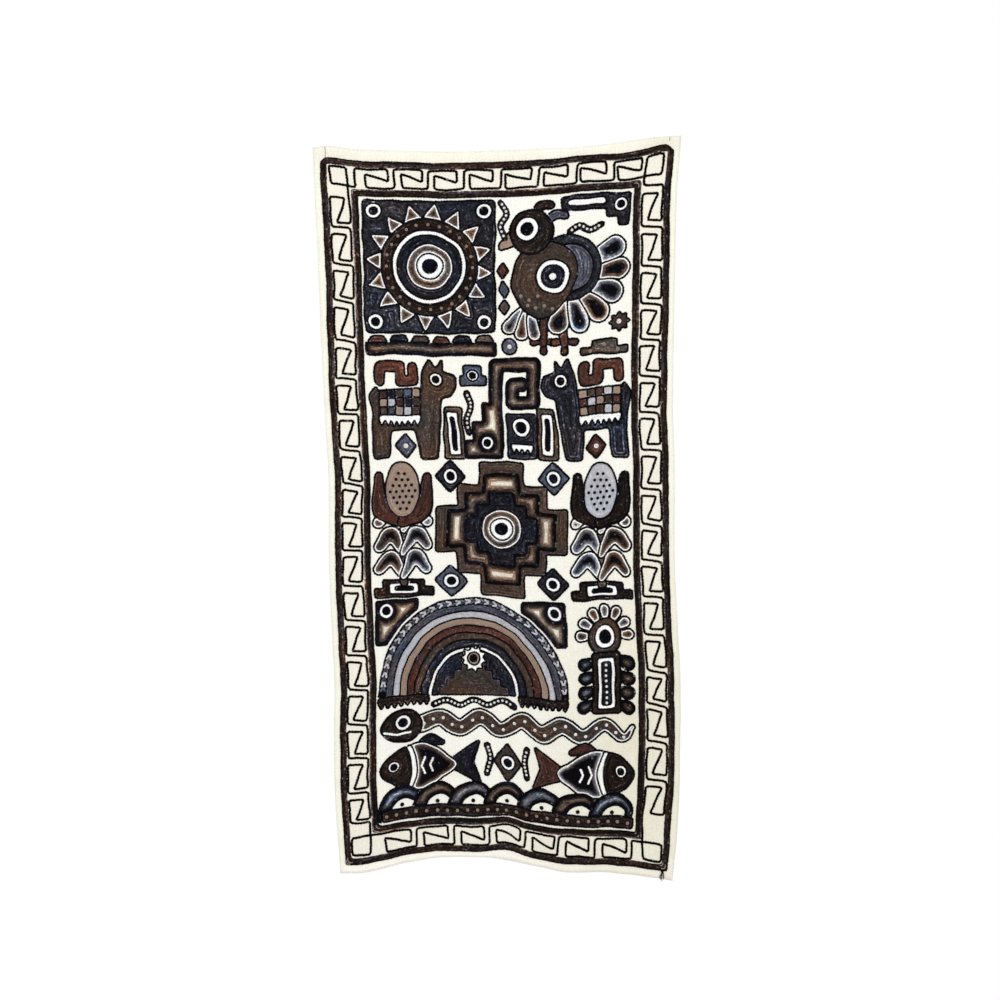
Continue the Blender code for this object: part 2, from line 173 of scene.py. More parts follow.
def drawn_by_stitching(across, down):
    """Each place after the stitching has drawn the weave; the cut edges stay where they are."""
    side = np.clip((CLOTH_WIDTH / 2 - np.abs(across)) / PULL_FREE_EDGE, 0, 1)
    end = np.clip(np.minimum(down, CLOTH_HEIGHT - down) / PULL_FREE_EDGE, 0, 1)
    shift_across = shift_down = 0.0
    for x, y, reach_x, reach_y, pull_across, pull_down in PULLS:
        near = np.exp(-(((across - x) / reach_x) ** 2) - ((down - y) / reach_y) ** 2)
        shift_across = shift_across + near * pull_across
        shift_down = shift_down + near * pull_down
    return across + shift_across * side, down + shift_down * end


def hung_face(across, down):
    """Places on the hung cloth's face, for places on the flat cloth."""
    across, down = drawn_by_stitching(across, down)
    left, right = smooth_curve(LEFT_EDGE, down), smooth_curve(RIGHT_EDGE, down)
    top, hem = smooth_curve(TOP_EDGE, across), smooth_curve(HEM_EDGE, across)
    x = left + (right - left) * (across / CLOTH_WIDTH + 0.5)
    y = WALL_TO_TOP_EDGE - proud_of_wall(across, down)
    z = top + (hem - top) * (down / CLOTH_HEIGHT)
    return np.stack([x, y, z], axis=-1)


def hung(flat, height):
    """Flat places (across, down), each lifted by its height off the cloth's face, on the hung cloth."""
    across, down = flat[:, 0], flat[:, 1]
    along = hung_face(across + SLOPE_STEP, down) - hung_face(across - SLOPE_STEP, down)
    upward = hung_face(across, down - SLOPE_STEP) - hung_face(across, down + SLOPE_STEP)
    outward = np.cross(along, upward)
    outward /= np.linalg.norm(outward, axis=1, keepdims=True)
    return hung_face(across, down) + outward * np.reshape(height, (-1, 1))


def mesh_from_arrays(name, places, faces, maps, dyes, material):
    """A smooth mesh. faces has one row of points a face, maps one place a corner, dyes one colour a point."""
    mesh = bpy.data.meshes.new(name)
    count, sides = faces.shape
    mesh.vertices.add(len(places))
    mesh.vertices.foreach_set("co", places.astype(np.float32).ravel())
    mesh.loops.add(count * sides)
    mesh.loops.foreach_set("vertex_index", faces.astype(np.int32).ravel())
    mesh.polygons.add(count)
    mesh.polygons.foreach_set("loop_start", np.arange(0, count * sides, sides, dtype=np.int32))
    mesh.update(calc_edges=True)
    for map_name, corners in maps.items():
        layer = mesh.uv_layers.new(name=map_name, do_init=False)
        layer.uv.foreach_set("vector", corners.astype(np.float32).ravel())
    colour = mesh.attributes.new("dye", "FLOAT_COLOR", "POINT")
    colour.data.foreach_set("color", np.hstack([dyes, np.ones((len(dyes), 1))]).astype(np.float32).ravel())
    mesh.shade_smooth()
    mesh.materials.append(material)
    piece = bpy.data.objects.new(name, mesh)
    bpy.context.scene.collection.objects.link(piece)
    return piece


def node_maker(name):
    """A new material, and short ways to add its nodes: add(type, settings, {input: value or output}),
    reckon(operation, values...) and between(value, two values, and what it becomes at each)."""
    material = bpy.data.materials.new(name)
    material.use_nodes = True
    tree = material.node_tree

    def add(kind, settings=None, inputs=None):
        node = tree.nodes.new(kind)
        for setting, value in (settings or {}).items():
            setattr(node, setting, value)
        for socket, value in (inputs or {}).items():
            if isinstance(value, bpy.types.NodeSocket):
                tree.links.new(value, node.inputs[socket])
            else:
                node.inputs[socket].default_value = value
        return node

    def reckon(operation, *values):
        return add("ShaderNodeMath", {"operation": operation}, dict(enumerate(values))).outputs[0]

    def between(value, low, high, at_low, at_high):
        ends = {"From Min": low, "From Max": high, "To Min": at_low, "To Max": at_high}
        return add("ShaderNodeMapRange", None, {"Value": value, **ends}).outputs[0]

    return material, add, reckon, between


def dyed_surface(material, add, shade, rough, bump, even):
    """Joins a material's nodes to its shader: the dye times its shade, the roughness and the bump, with
    what is even all over set on the shader's own sockets."""
    dye = add("ShaderNodeAttribute", {"attribute_name": "dye"})
    scaled = {"Vector": dye.outputs["Color"], "Scale": shade}
    colour = add("ShaderNodeVectorMath", {"operation": "SCALE"}, scaled).outputs[0]
    shader = material.node_tree.nodes["Principled BSDF"]
    for socket, output in (("Base Color", colour), ("Roughness", rough), ("Normal", bump.outputs[0])):
        material.node_tree.links.new(output, shader.inputs[socket])
    for socket, value in even.items():
        shader.inputs[socket].default_value = value


# The cloth's own colour, paler in the picture field, yellower at the top corners where it is stained, and
# mottled all over. Paler round the cut edge and still paler along the hem are painted light; darker and
# yellower at the lower right is painted shade.
CREAM = (0.876, 0.838, 0.728)
FIELD_CREAM = (0.930, 0.914, 0.836)
# Paler round the cut edge: painted light.
EDGE_PAINTED_LIGHT_CREAM = (0.930, 0.918, 0.795)
# Paler still along the hem: painted light, making up for the lamps lighting the hem less.
HEM_PAINTED_LIGHT_CREAM = (0.990, 0.950, 0.870)
# Darker and yellower: stains at the top corners, and painted shade at the lower right.
STAIN_AND_SHADE_CREAM = (0.800, 0.765, 0.625)
# The field's edge: how far it reaches to each side, its top and its hem.
FIELD_EDGE = (0.343, 0.114, 1.712)
FIELD_FADE = 0.012
EDGE_PAINTED_LIGHT_REACH = 0.020
HEM_PAINTED_LIGHT_REACH = 0.024
# Yellow stains at the top corners, and a large painted shade at the lower right. Columns: across, down, reach
# across, reach down, how much.
STAIN_AND_SHADE_PLACES = (
    (0.330, 1.500, 0.220, 0.420, 1.0), (0.410, 0.020, 0.060, 0.040, 0.6), (-0.410, 0.020, 0.080, 0.045, 0.45),
)
# Columns: waves a metre across, down, phase, strength.
MOTTLING = ((9.0, 6.0, 0.3, 1.0), (-15.0, 11.0, 1.7, 0.8), (21.0, 17.0, 4.0, 0.7), (-31.0, 26.0, 2.2, 0.6))
MOTTLE_TONE = (0.004, 0.009, 0.013)
THREADS_A_METRE = 760.0
SLUBS_A_METRE = 9.0
SLUB_LENGTHS = ((60.0, 2.0, 1.0), (2.0, 60.0, 1.0))
PUCKERS_A_METRE = 210.0
PUCKER_SHARE, WEAVE_SHARE = 1.6, 0.20
# The lowest and highest sum of slubs and puckers.
UNEVEN_RANGE = (1.3, 2.3)


def cream_cloth_material():
    """Plain weave of thick and thin wool threads, matt and slightly hairy."""
    material, add, reckon, between = node_maker("cream_plain_weave")
    flat = {"noise_dimensions": "2D"}
    place = add("ShaderNodeUVMap", {"uv_map": "threads"}).outputs["UV"]
    apart = add("ShaderNodeSeparateXYZ", None, {0: place}).outputs
    slubs = []
    for lengths in SLUB_LENGTHS:
        laid = add("ShaderNodeMapping", None, {"Vector": place, "Scale": lengths}).outputs[0]
        slubs.append(add("ShaderNodeTexNoise", flat, {"Vector": laid, "Scale": SLUBS_A_METRE}).outputs["Fac"])
    turns = math.pi * THREADS_A_METRE
    over = reckon("MULTIPLY", *(reckon("SINE", reckon("MULTIPLY", apart[axis], turns)) for axis in (0, 1)))
    finer = {"Vector": place, "Scale": PUCKERS_A_METRE, "Detail": 2.0}
    pucker = add("ShaderNodeTexNoise", flat, finer).outputs["Fac"]
    uneven = reckon("MULTIPLY_ADD", pucker, PUCKER_SHARE, reckon("ADD", *slubs))
    relief = reckon("MULTIPLY_ADD", over, WEAVE_SHARE, uneven)
    bump = add("ShaderNodeBump", None, {"Strength": 0.55, "Distance": 0.0006, "Height": relief})
    shade = between(uneven, *UNEVEN_RANGE, 0.915, 1.07)
    rough = between(uneven, *UNEVEN_RANGE, 0.86, 0.96)
    even = {"Sheen Weight": 0.08, "Sheen Roughness": 0.5, "Specular IOR Level": 0.2}
    dyed_surface(material, add, shade, rough, bump, even)
    return material


def cloth_dyes(across, down):
    """The cloth's colour at each place, with painted light round its edge and hem and painted shade at the
    lower right.
    """

    def blend(dyes, towards, share):
        return dyes + (np.array(towards) - dyes) * share[:, None]

    to_hem = CLOTH_HEIGHT - down
    gap = np.minimum(CLOTH_WIDTH / 2 - np.abs(across), np.minimum(down, to_hem))
    side, top, hem = FIELD_EDGE
    inside = np.minimum(side - np.abs(across), np.minimum(down - top, hem - down))
    dyes = np.tile(np.array(CREAM), (len(across), 1))
    dyes = blend(dyes, FIELD_CREAM, np.clip(0.5 + inside / FIELD_FADE, 0, 1))
    # Painted light round the cut edge.
    dyes = blend(dyes, EDGE_PAINTED_LIGHT_CREAM, np.exp(-((gap / EDGE_PAINTED_LIGHT_REACH) ** 2)))
    # Painted light along the hem.
    dyes = blend(dyes, HEM_PAINTED_LIGHT_CREAM, np.exp(-((to_hem / HEM_PAINTED_LIGHT_REACH) ** 4)))
    # Yellow stains at the top corners and painted shade at the lower right.
    for x, y, reach_across, reach_down, share in STAIN_AND_SHADE_PLACES:
        gone = ((across - x) / reach_across) ** 2 + ((down - y) / reach_down) ** 2
        dyes = blend(dyes, STAIN_AND_SHADE_CREAM, share * np.exp(-gone))
    mottle = 0.0
    for waves_across, waves_down, phase, strength in MOTTLING:
        turn = 2 * math.pi * (across * waves_across + down * waves_down)
        mottle = mottle + strength * np.sin(turn + phase + 2 * np.sin(turn * 0.37 + phase))
    return dyes * (1 + mottle[:, None] * MOTTLE_TONE)


# On the bake map the face lies at the left and the back at the right, each this wide.
LAID_OUT_WIDTH = 0.49
BACK_LAID_OUT_AT = 0.51


def make_ground_cloth():
    """A thin sheet: its face, its back and the cut edge round them."""
    across = np.linspace(-CLOTH_WIDTH / 2, CLOTH_WIDTH / 2, CLOTH_COLUMNS + 1)
    down = np.linspace(0, CLOTH_HEIGHT, CLOTH_ROWS + 1)
    flat = np.stack(np.meshgrid(across, down), axis=-1).reshape(-1, 2)
    count = len(flat)
    both = np.vstack([flat, flat])
    places = hung(both, np.repeat([0.0, -CLOTH_THICKNESS], count))
    point = np.arange(count).reshape(CLOTH_ROWS + 1, CLOTH_COLUMNS + 1)
    cells = np.stack([point[:-1, :-1], point[1:, :-1], point[1:, 1:], point[:-1, 1:]], axis=-1).reshape(-1, 4)
    rim = np.concatenate([point[0, :-1], point[:-1, -1], point[-1, :0:-1], point[:0:-1, 0]])
    after = np.roll(rim, -1)
    edge = np.stack([rim, after, after + count, rim + count], axis=-1)
    faces = np.concatenate([cells, cells[:, ::-1] + count, edge])
    unit = (both - (-CLOTH_WIDTH / 2, 0)) / (CLOTH_WIDTH, CLOTH_HEIGHT)
    laid_across = unit[:, 0] * LAID_OUT_WIDTH + np.repeat([0.0, BACK_LAID_OUT_AT], count)
    laid_out = np.stack([laid_across, 1 - unit[:, 1]], axis=-1)
    maps = {"threads": both[faces].reshape(-1, 2), "OFBake": laid_out[faces].reshape(-1, 2)}
    dyes = cloth_dyes(both[:, 0], both[:, 1])
    return mesh_from_arrays("ground_cloth_sheet", places, faces, maps, dyes, cream_cloth_material())


ground_cloth = make_ground_cloth()
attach(ground_cloth, "root")
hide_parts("ground_cloth")


# Outer band. Five rows of thick wool chain stitched side by side round the cloth, black outermost and
# dark brown inside, turned at the corners by hand so that some corners are cut off and some stay square.
SIDE_MARGIN = 0.0160
TOP_MARGIN = 0.0280
HEM_MARGIN = 0.0195
OUTER_BAND = 0.0160
OUTER_ROWS = ("warm_black", "band_dark", "band_dark", "band_brown", "band_brown")

LINK = 0.0071
BELLY_AT = 0.6
ROW_WIDTH = 0.0037
ROW_HEIGHT = 0.0017
ROW_LIFT = 0.0003
# A link of chain stitch in cross-section. Columns: place across, height at its neck, height at its belly.
LINK_SECTION = (
    (-1.0, 0.05, 0.05), (-0.52, 0.70, 1.00), (0.0, 0.84, 0.62), (0.52, 0.70, 1.00), (1.0, 0.05, 0.05),
)
NECK_WIDTH = 0.78
BELLY_WIDTH = 1.08
END_WIDTH = 0.45
# How far a row strays from its line, and a link from its row; how a link's width varies.
ROW_STRAY = 0.0010
LINK_STRAY = 0.00030
WIDTH_STRAY = 0.09
# How far one row's dye differs from the next, one link's from the next, and the yarn's along its own length,
# with the links between its light and dark places.
ROW_TONE = 0.24
LINK_TONE = 0.44
YARN_TONE = 0.34
YARN_LINKS = 9
# The share of links that are lighter where the yarn is rubbed and where painted sheen highlights stand for
# its shine, and by how much.
RUBBED_AND_SHEEN_SHARE = 0.020
RUBBED_AND_SHEEN_LIGHT = 0.055
# How much of all this a dark and a pale dye show, and how much light such a dye sends back.
DARK_DYE_SHARE, PALE_DYE_SHARE = 1.8, 0.2
DARK_DYE, PALE_DYE = 0.06, 0.3
# How the dye drifts in red, green and blue across the work, and how much darker it is a metre to the right
# and a metre lower, a painted shade, and from where.
DYE_DRIFT = (0.13, 0.02, -0.08)
PAINTED_SHADE_ACROSS, PAINTED_SHADE_DOWN, PAINTED_SHADE_FROM = 0.34, 0.26, 0.70

# Wool dyes, as the share of light that each sends back.
DYES = {
    "black": (0.0026, 0.0022, 0.0050),
    "warm_black": (0.0050, 0.0036, 0.0012),
    "navy": (0.0150, 0.0155, 0.0230),
    "charcoal": (0.0235, 0.0240, 0.0325),
    "slate": (0.0850, 0.0880, 0.1150),
    "grey": (0.2300, 0.2320, 0.2600),
    "light_grey": (0.5200, 0.5200, 0.5600),
    "white": (1.0000, 0.9950, 0.9700),
    "espresso": (0.0205, 0.0130, 0.0107),
    "brown": (0.0640, 0.0430, 0.0338),
    "olive": (0.0775, 0.0574, 0.0453),
    "rust": (0.0720, 0.0310, 0.0240),
    "mid_tan": (0.1680, 0.1170, 0.0910),
    "tan": (0.3600, 0.2600, 0.2050),
    "cream": (0.8600, 0.8100, 0.6600),
    "band_light": (0.0550, 0.0372, 0.0335),
    "band_brown": (0.0450, 0.0290, 0.0260),
    "band_dark": (0.0275, 0.0168, 0.0146),
    # The cloth in a band's slits, darker than the cloth: painted shade between the rows.
    "slit_painted_shade_cream": (0.46, 0.43, 0.37),
    "guide": (0.22, 0.21, 0.12),
}

# The most of a side's length that a rounded corner takes, and the points on its arc.
MOST_ROUNDED = 0.48
ARC_POINTS = 6

sewn_rows = []
draw = np.random.default_rng(11)


def rounded(corners, radius):
    """A closed line with its corners turned to arcs. radius is one number, or one for each corner."""
    corners = np.array(corners, float)
    line = []
    for i, (corner, turn) in enumerate(zip(corners, np.broadcast_to(radius, len(corners)))):
        before = corners[i - 1] - corner
        after = corners[(i + 1) % len(corners)] - corner
        before_reach, after_reach = np.linalg.norm(before), np.linalg.norm(after)
        reach = min(turn, MOST_ROUNDED * before_reach, MOST_ROUNDED * after_reach)
        start = corner + before * reach / before_reach
        end = corner + after * reach / after_reach
        for t in np.linspace(0, 1, ARC_POINTS):
            line.append(start * (1 - t) ** 2 + corner * 2 * t * (1 - t) + end * t * t)
    return np.array(line)


def spaced(line, step):
    """The same closed line with points at least as close as step."""
    dense = []
    for a, b in zip(line, np.vstack([line[1:], line[:1]])):
        parts = max(1, math.ceil(np.linalg.norm(b - a) / step))
        dense += [a + (b - a) * j / parts for j in range(parts)]
    return np.array(dense)


def distances(line):
    """How far along a line each of its points is."""
    return np.concatenate([[0], np.cumsum(np.hypot(*np.diff(line, axis=0).T))])


def points_at(line, reach, at):
    """Places on a line, at distances from its start; reach holds its own points' distances."""
    return np.stack([np.interp(at, reach, line[:, 0]), np.interp(at, reach, line[:, 1])], axis=-1)


def by_hand(flat, amount=ROW_STRAY):
    """The small unevenness of work sewn by eye."""
    x, y = flat[:, 0], flat[:, 1]
    shift_x = np.sin(37 * y + 11 * x) + 0.6 * np.sin(91 * y - 47 * x + 1.3)
    shift_y = np.sin(41 * x - 13 * y + 2.0) + 0.6 * np.sin(83 * x + 53 * y + 0.4)
    return flat + amount * np.stack([shift_x, shift_y], axis=-1)


def new_work():
    return {"rows": [], "under": [], "knots": []}


def add_row(work, line, dye, closed=True, width=ROW_WIDTH, lift=0.0, height=ROW_HEIGHT, uneven=ROW_STRAY):
    """One row of chain stitch along a flat line. lift is one number, or one for each point of the line."""
    line = by_hand(np.asarray(line, float), uneven)
    lift = np.broadcast_to(np.asarray(lift, float), len(line))
    work["rows"].append((line, DYES[dye], closed, width, lift, height))


def links_along(line, closed, lift):
    """Stations at each link's neck and belly: flat place, place in links, lift and direction."""
    if closed:
        line = np.vstack([line, line[:1]])
        lift = np.append(lift, lift[0])
    reach = distances(line)
    count = max(4 if closed else 1, round(reach[-1] / LINK))
    phase = (np.arange(count)[:, None] + np.array([0, BELLY_AT])).ravel()
    if not closed:
        phase = np.append(phase, count)
    at = phase / count * reach[-1]
    place = points_at(line, reach, at)
    if closed:
        direction = np.roll(place, -1, axis=0) - np.roll(place, 1, axis=0)
    else:
        direction = np.gradient(place, axis=0)
    direction /= np.maximum(np.linalg.norm(direction, axis=1, keepdims=True), 1e-9)
    return place, phase, np.interp(at, reach, lift), direction, count


def row_dyes(dye, place, phase, count):
    """A row's dye at every station: own tone, slow and quick changes, painted shade to the lower right,
    rubbed and painted sheen specks.
    """
    x, y = place.T
    lively = DARK_DYE_SHARE if max(dye) < DARK_DYE else 1.0 if max(dye) < PALE_DYE else PALE_DYE_SHARE
    yarns = draw.normal(size=count // YARN_LINKS + 3)
    slow = ROW_TONE * yarns[-1] + YARN_TONE * np.interp(phase / YARN_LINKS, np.arange(len(yarns)), yarns)
    evened = max(lively**2 - 1, 0) * (ROW_TONE**2 + YARN_TONE**2 + LINK_TONE**2) / 2
    tone = np.exp(lively * (slow + LINK_TONE * draw.normal(size=len(place))) - evened)
    lively = min(lively, 1.0)
    # Darker towards the lower right: painted shade.
    tone = tone * np.exp(-lively * (PAINTED_SHADE_ACROSS * x + PAINTED_SHADE_DOWN * (y - PAINTED_SHADE_FROM)))
    # Light specks: rubbed yarn, and painted sheen highlights.
    rubbed_and_sheen = (draw.random(len(place)) < RUBBED_AND_SHEEN_SHARE * lively) * draw.exponential(RUBBED_AND_SHEEN_LIGHT, len(place))
    drift = np.sin(23 * x + 9 * np.sin(7 * y)) + np.sin(31 * y - 14 * x)
    colour = np.array(dye) * tone[:, None] * (1 + lively * drift[:, None] * DYE_DRIFT) + rubbed_and_sheen[:, None]
    return np.minimum(colour, 1.0)


def rows_mesh(rows):
    """Points, heights, faces, corners on the stitch map and dyes of many rows of chain stitch."""
    section = np.array(LINK_SECTION)
    columns = len(section)
    v = section[:, 0]
    v = np.stack([v[:-1], v[1:], v[1:], v[:-1]], axis=-1)
    parts = []
    first = 0
    for line, dye, closed, width, lift, height in rows:
        place, phase, raised, direction, count = links_along(line, closed, lift)
        sewn_rows.append((place, closed, dye))
        neck = phase % 1 < 0.01
        varied = draw.uniform(1 - WIDTH_STRAY, 1 + WIDTH_STRAY, len(place))
        half = np.where(neck, NECK_WIDTH, BELLY_WIDTH) * width / 2 * varied
        tall = np.where(neck[:, None], section[:, 1], section[:, 2]) * height
        if not closed:
            half[[0, -1]] = END_WIDTH * width / 2
            tall[[0, -1]] *= END_WIDTH
        side = np.stack([-direction[:, 1], direction[:, 0]], axis=-1)
        place = place + side * draw.normal(0, LINK_STRAY, (len(place), 1))
        spread = place[:, None, :] + side[:, None, :] * (half[:, None] * section[:, 0])[:, :, None]
        stations = len(place)
        near = np.arange(stations if closed else stations - 1)[:, None]
        across = first + np.arange(columns - 1)
        near, far = near * columns + across, (near + 1) % stations * columns + across
        u = np.append(phase, count) if closed else phase
        u = np.stack([u[:-1], u[:-1], u[1:], u[1:]], axis=-1)
        parts.append(
            (
                spread.reshape(-1, 2),
                (tall + raised[:, None] + ROW_LIFT).ravel(),
                np.stack([near, near + 1, far + 1, far], axis=-1).reshape(-1, 4),
                np.stack(np.broadcast_arrays(u[:, None], v), axis=-1).reshape(-1, 2),
                np.repeat(row_dyes(dye, place, phase, count), columns, axis=0),
            )
        )
        first += stations * columns
    return [np.concatenate(part) for part in zip(*parts)]


def wool_yarn_material(name):
    """Two-ply wool: slanting plies that meet down the middle of each link, heathered and a little hairy, with
    painted shade down a row's sides, where one link goes into the next and in the opening of each loop."""
    material, add, reckon, between = node_maker(name)
    place = add("ShaderNodeUVMap", {"uv_map": "stitches"}).outputs["UV"]
    apart = add("ShaderNodeSeparateXYZ", None, {0: place}).outputs
    beside, along = reckon("ABSOLUTE", apart[1]), reckon("FRACT", apart[0])
    plies = reckon("SINE", reckon("MULTIPLY", reckon("MULTIPLY_ADD", beside, 1.1, apart[0]), 6 * math.pi))
    solid = add("ShaderNodeTexCoord").outputs["Object"]
    fine = {"Vector": solid, "Scale": 1400.0, "Detail": 3.0, "Roughness": 0.65}
    hairs = add("ShaderNodeTexNoise", None, fine).outputs["Fac"]
    heather = add("ShaderNodeTexNoise", None, {"Vector": solid, "Scale": 420.0, "Detail": 2.0}).outputs["Fac"]
    relief = reckon("MULTIPLY_ADD", plies, 0.30, hairs)
    bump = add("ShaderNodeBump", None, {"Strength": 0.6, "Distance": 0.0005, "Height": relief})
    # Painted shade: darker down a row's sides, where one link goes into the next, and in each loop's opening.
    side_shade = between(beside, 0.62, 1.0, 1.0, 0.55)
    join_shade = between(reckon("ABSOLUTE", reckon("SUBTRACT", along, 0.5)), 0.40, 0.50, 1.0, 0.65)
    loop_shade_along = between(reckon("ABSOLUTE", reckon("SUBTRACT", along, BELLY_AT)), 0.0, 0.30, 0.45, 0.0)
    loop_shade = reckon("SUBTRACT", 1.0, reckon("MULTIPLY", loop_shade_along, between(beside, 0.0, 0.34, 1.0, 0.0)))
    painted_shade = reckon("MULTIPLY", reckon("MULTIPLY", side_shade, join_shade), loop_shade)
    heathered = reckon("MULTIPLY_ADD", plies, 0.08, between(heather, 0.3, 0.7, 0.88, 1.34))
    rough = between(hairs, 0.3, 0.7, 0.72, 0.95)
    even = {"Sheen Weight": 0.02, "Sheen Roughness": 0.45, "Specular IOR Level": 0.06}
    dyed_surface(material, add, reckon("MULTIPLY", painted_shade, heathered), rough, bump, even)
    return material


# Where knots and wool under the rows lie on the stitch map: clear of the painted shade at a row's side and in
# its loops.
CLEAR_OF_PAINTED_SHADE = 0.45


def stitched_piece(name, work, material, nodes=()):
    """One piece of chain stitch on the hung cloth, with any filling under its rows and knots on top."""
    places, heights, faces, corners, dyes = rows_mesh(work["rows"])
    for more_places, more_heights, more_faces, more_dyes in work["under"] + work["knots"]:
        faces = np.vstack([more_faces + len(places), faces])
        laid = more_places[more_faces].reshape(-1, 2) * (1 / LINK, 0) + (0, CLEAR_OF_PAINTED_SHADE)
        corners = np.vstack([laid, corners])
        places = np.vstack([places, more_places])
        heights = np.concatenate([heights, more_heights])
        dyes = np.vstack([dyes, more_dyes])
    low, high = places.min(axis=0), places.max(axis=0)
    laid_out = (places - low) / (high - low)
    laid_out[:, 1] = 1 - laid_out[:, 1]
    maps = {"stitches": corners, "OFBake": laid_out[faces].reshape(-1, 2)}
    piece = mesh_from_arrays(name, hung(places, heights), faces, maps, dyes, material)
    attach(piece, "root")
    if nodes:
        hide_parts(*nodes)
    return piece


# How the outer band turns its corners. Columns: cut off across, cut off down and rounding, each at the
# outermost row, and what each further row loses of the cut and gains in rounding.
OUTER_CORNERS = {
    "top_left": (0.0109, 0.0090, 0.0022, 0.0030, 0.0000),
    "top_right": (0.0185, 0.0125, 0.0022, 0.0040, 0.0000),
    "hem_right": (0.0, 0.0, 0.0020, 0.0, 0.0016),
    "hem_left": (0.0, 0.0, 0.0022, 0.0, 0.0024),
}
LEAST_CUT = 0.001
BAND_STEP = 0.010
# Slits of cloth at the outer band's corners, in a cream darkened by painted shade between the rows. Columns:
# corner, rows from the outside, how far from the corner.
OUTER_GAPS = (
    ("hem_left", 1, 0.011), ("hem_left", 2, 0.013), ("hem_right", 2, 0.012), ("hem_right", 4, 0.009),
)
GAP_WIDTH = 0.0016
GAP_LIFT = 0.0016
GAP_HEIGHT = 0.0004
GAP_STEP = 0.001
BAND_ROW_HEIGHT = 0.0018
BAND_BED_HEIGHT = 0.0010
BAND_OVERLAP = 1.25
BAND_STRAY = 0.0006


def band_corners(insets):
    """Where a band's row would turn if it were square. insets are from the cloth's side, top and hem."""
    side, top, hem = CLOTH_WIDTH / 2 - insets[0], insets[1], CLOTH_HEIGHT - insets[2]
    spots = ((-side, top), (side, top), (side, hem), (-side, hem))
    return dict(zip(("top_left", "top_right", "hem_right", "hem_left"), spots))


def band_row(insets, corner_table, row):
    """One closed row of a band, with its corners cut or rounded as the table says."""
    corners, radii = [], []
    for name, (x, y) in band_corners(insets).items():
        cut_across, cut_down, rounding, less, more = corner_table[name]
        cut_across, cut_down = max(cut_across - less * row, 0), max(cut_down - less * row, 0)
        if min(cut_across, cut_down) > LEAST_CUT:
            level = (x - math.copysign(cut_across, x), y)
            upright = (x, y + (cut_down if name.startswith("top") else -cut_down))
            turns = [upright, level] if name in ("top_left", "hem_right") else [level, upright]
        else:
            turns = [(x, y)]
        corners += turns
        radii += [rounding + more * row] * len(turns)
    return spaced(rounded(corners, radii), BAND_STEP)


def add_corner_gaps(work, insets, pitch, corner_table, gaps):
    """The thin slits of cloth that show where a band's rows part at a corner, in a cream darkened by painted
    shade.
    """
    for name, row, reach in gaps:
        here = [inset + row * pitch for inset in insets]
        line = spaced(band_row(here, corner_table, row), GAP_STEP)
        near = np.linalg.norm(line - band_corners(here)[name], axis=1) < reach
        turn = int(np.flatnonzero(~near)[0])
        line = np.roll(line, -turn, axis=0)[np.roll(near, -turn)]
        add_row(work, line, "slit_painted_shade_cream", False, GAP_WIDTH, GAP_LIFT, GAP_HEIGHT, BAND_STRAY)


def add_band_bed(work, outer, inner, dye):
    """The wool that shows between a band's rows, from its outermost row's line to its innermost."""
    outer, inner = by_hand(outer, BAND_STRAY), by_hand(inner, BAND_STRAY)
    match = inner[np.linalg.norm(outer[:, None] - inner, axis=2).argmin(axis=1)]
    count = len(outer)
    here = np.arange(count)
    there = np.roll(here, -1)
    faces = np.stack([here + count, there + count, there, here], axis=-1)
    dyes = np.tile(np.array(DYES[dye]), (2 * count, 1))
    work["under"].append((np.vstack([outer, match]), np.full(2 * count, BAND_BED_HEIGHT), faces, dyes))


def make_band(name, node, dyes, edges, further, width, corner_table, gaps):
    """A band of rows side by side, as wide as width. It starts further inside than edges, which are the
    distances from the cloth's side, top and hem."""
    work = new_work()
    pitch = width / len(dyes)
    lines = []
    for number, dye in enumerate(dyes):
        inset = further + (number + 0.5) * pitch
        lines.append(band_row([edge + inset for edge in edges], corner_table, number))
        add_row(work, lines[-1], dye, width=pitch * BAND_OVERLAP, height=BAND_ROW_HEIGHT, uneven=BAND_STRAY)
    add_corner_gaps(work, [edge + further for edge in edges], pitch, corner_table, gaps)
    add_band_bed(work, lines[0], lines[-1], "band_dark")
    return stitched_piece(name, work, band_yarn, [node])


band_yarn = wool_yarn_material("dark_brown_wool_yarn")
margins = (SIDE_MARGIN, TOP_MARGIN, HEM_MARGIN)
outer_band_piece = make_band(
    "outer_band_rows", "outer_band", OUTER_ROWS, margins, 0.0, OUTER_BAND, OUTER_CORNERS, OUTER_GAPS
)


# Fret line. One running row of black chain stitch between the bands: short turned units along the top
# and hem, upright Zs down the sides, and a small square at each corner where the line crosses itself.
SIDE_STRIP = 0.0590
TOP_STRIP = 0.0550
HEM_STRIP = 0.0555
SIDE_GAP, TOP_GAP, HEM_GAP = 0.0034, 0.0034, 0.0026
INNER_GAP = 0.0049
FRET_WIDTH = 0.0068
FRET_STEP = 0.003
FRET_STRAY = 0.0012
# Where the line passes over itself: how far off it starts to climb, how high, and the fewest steps between
# its two passes.
CROSSING_RAMP = 0.0100
CROSSING_LIFT = 0.8 * ROW_HEIGHT
PASSES_APART = 4
# Units of the top and of the hem, and where the last ends. Columns: start across, then its right side and its
# foot as parts of its length.
TOP_UNITS = (
    (-0.3475, 0.850, 0.265), (-0.2515, 0.835, 0.210), (-0.1685, 0.800, 0.160), (-0.0800, 0.765, 0.145),
    (0.0110, 0.800, 0.110), (0.1045, 0.760, 0.130), (0.1990, 0.785, 0.090), (0.2900, 0.890, 0.110),
)
TOP_END = 0.3655
HEM_UNITS = (
    (-0.3470, 0.860, 0.200), (-0.2440, 0.840, 0.180), (-0.1440, 0.850, 0.195), (-0.0485, 0.850, 0.185),
    (0.0490, 0.875, 0.215), (0.1390, 0.825, 0.205), (0.2375, 0.855, 0.210),
)
HEM_END = 0.3350
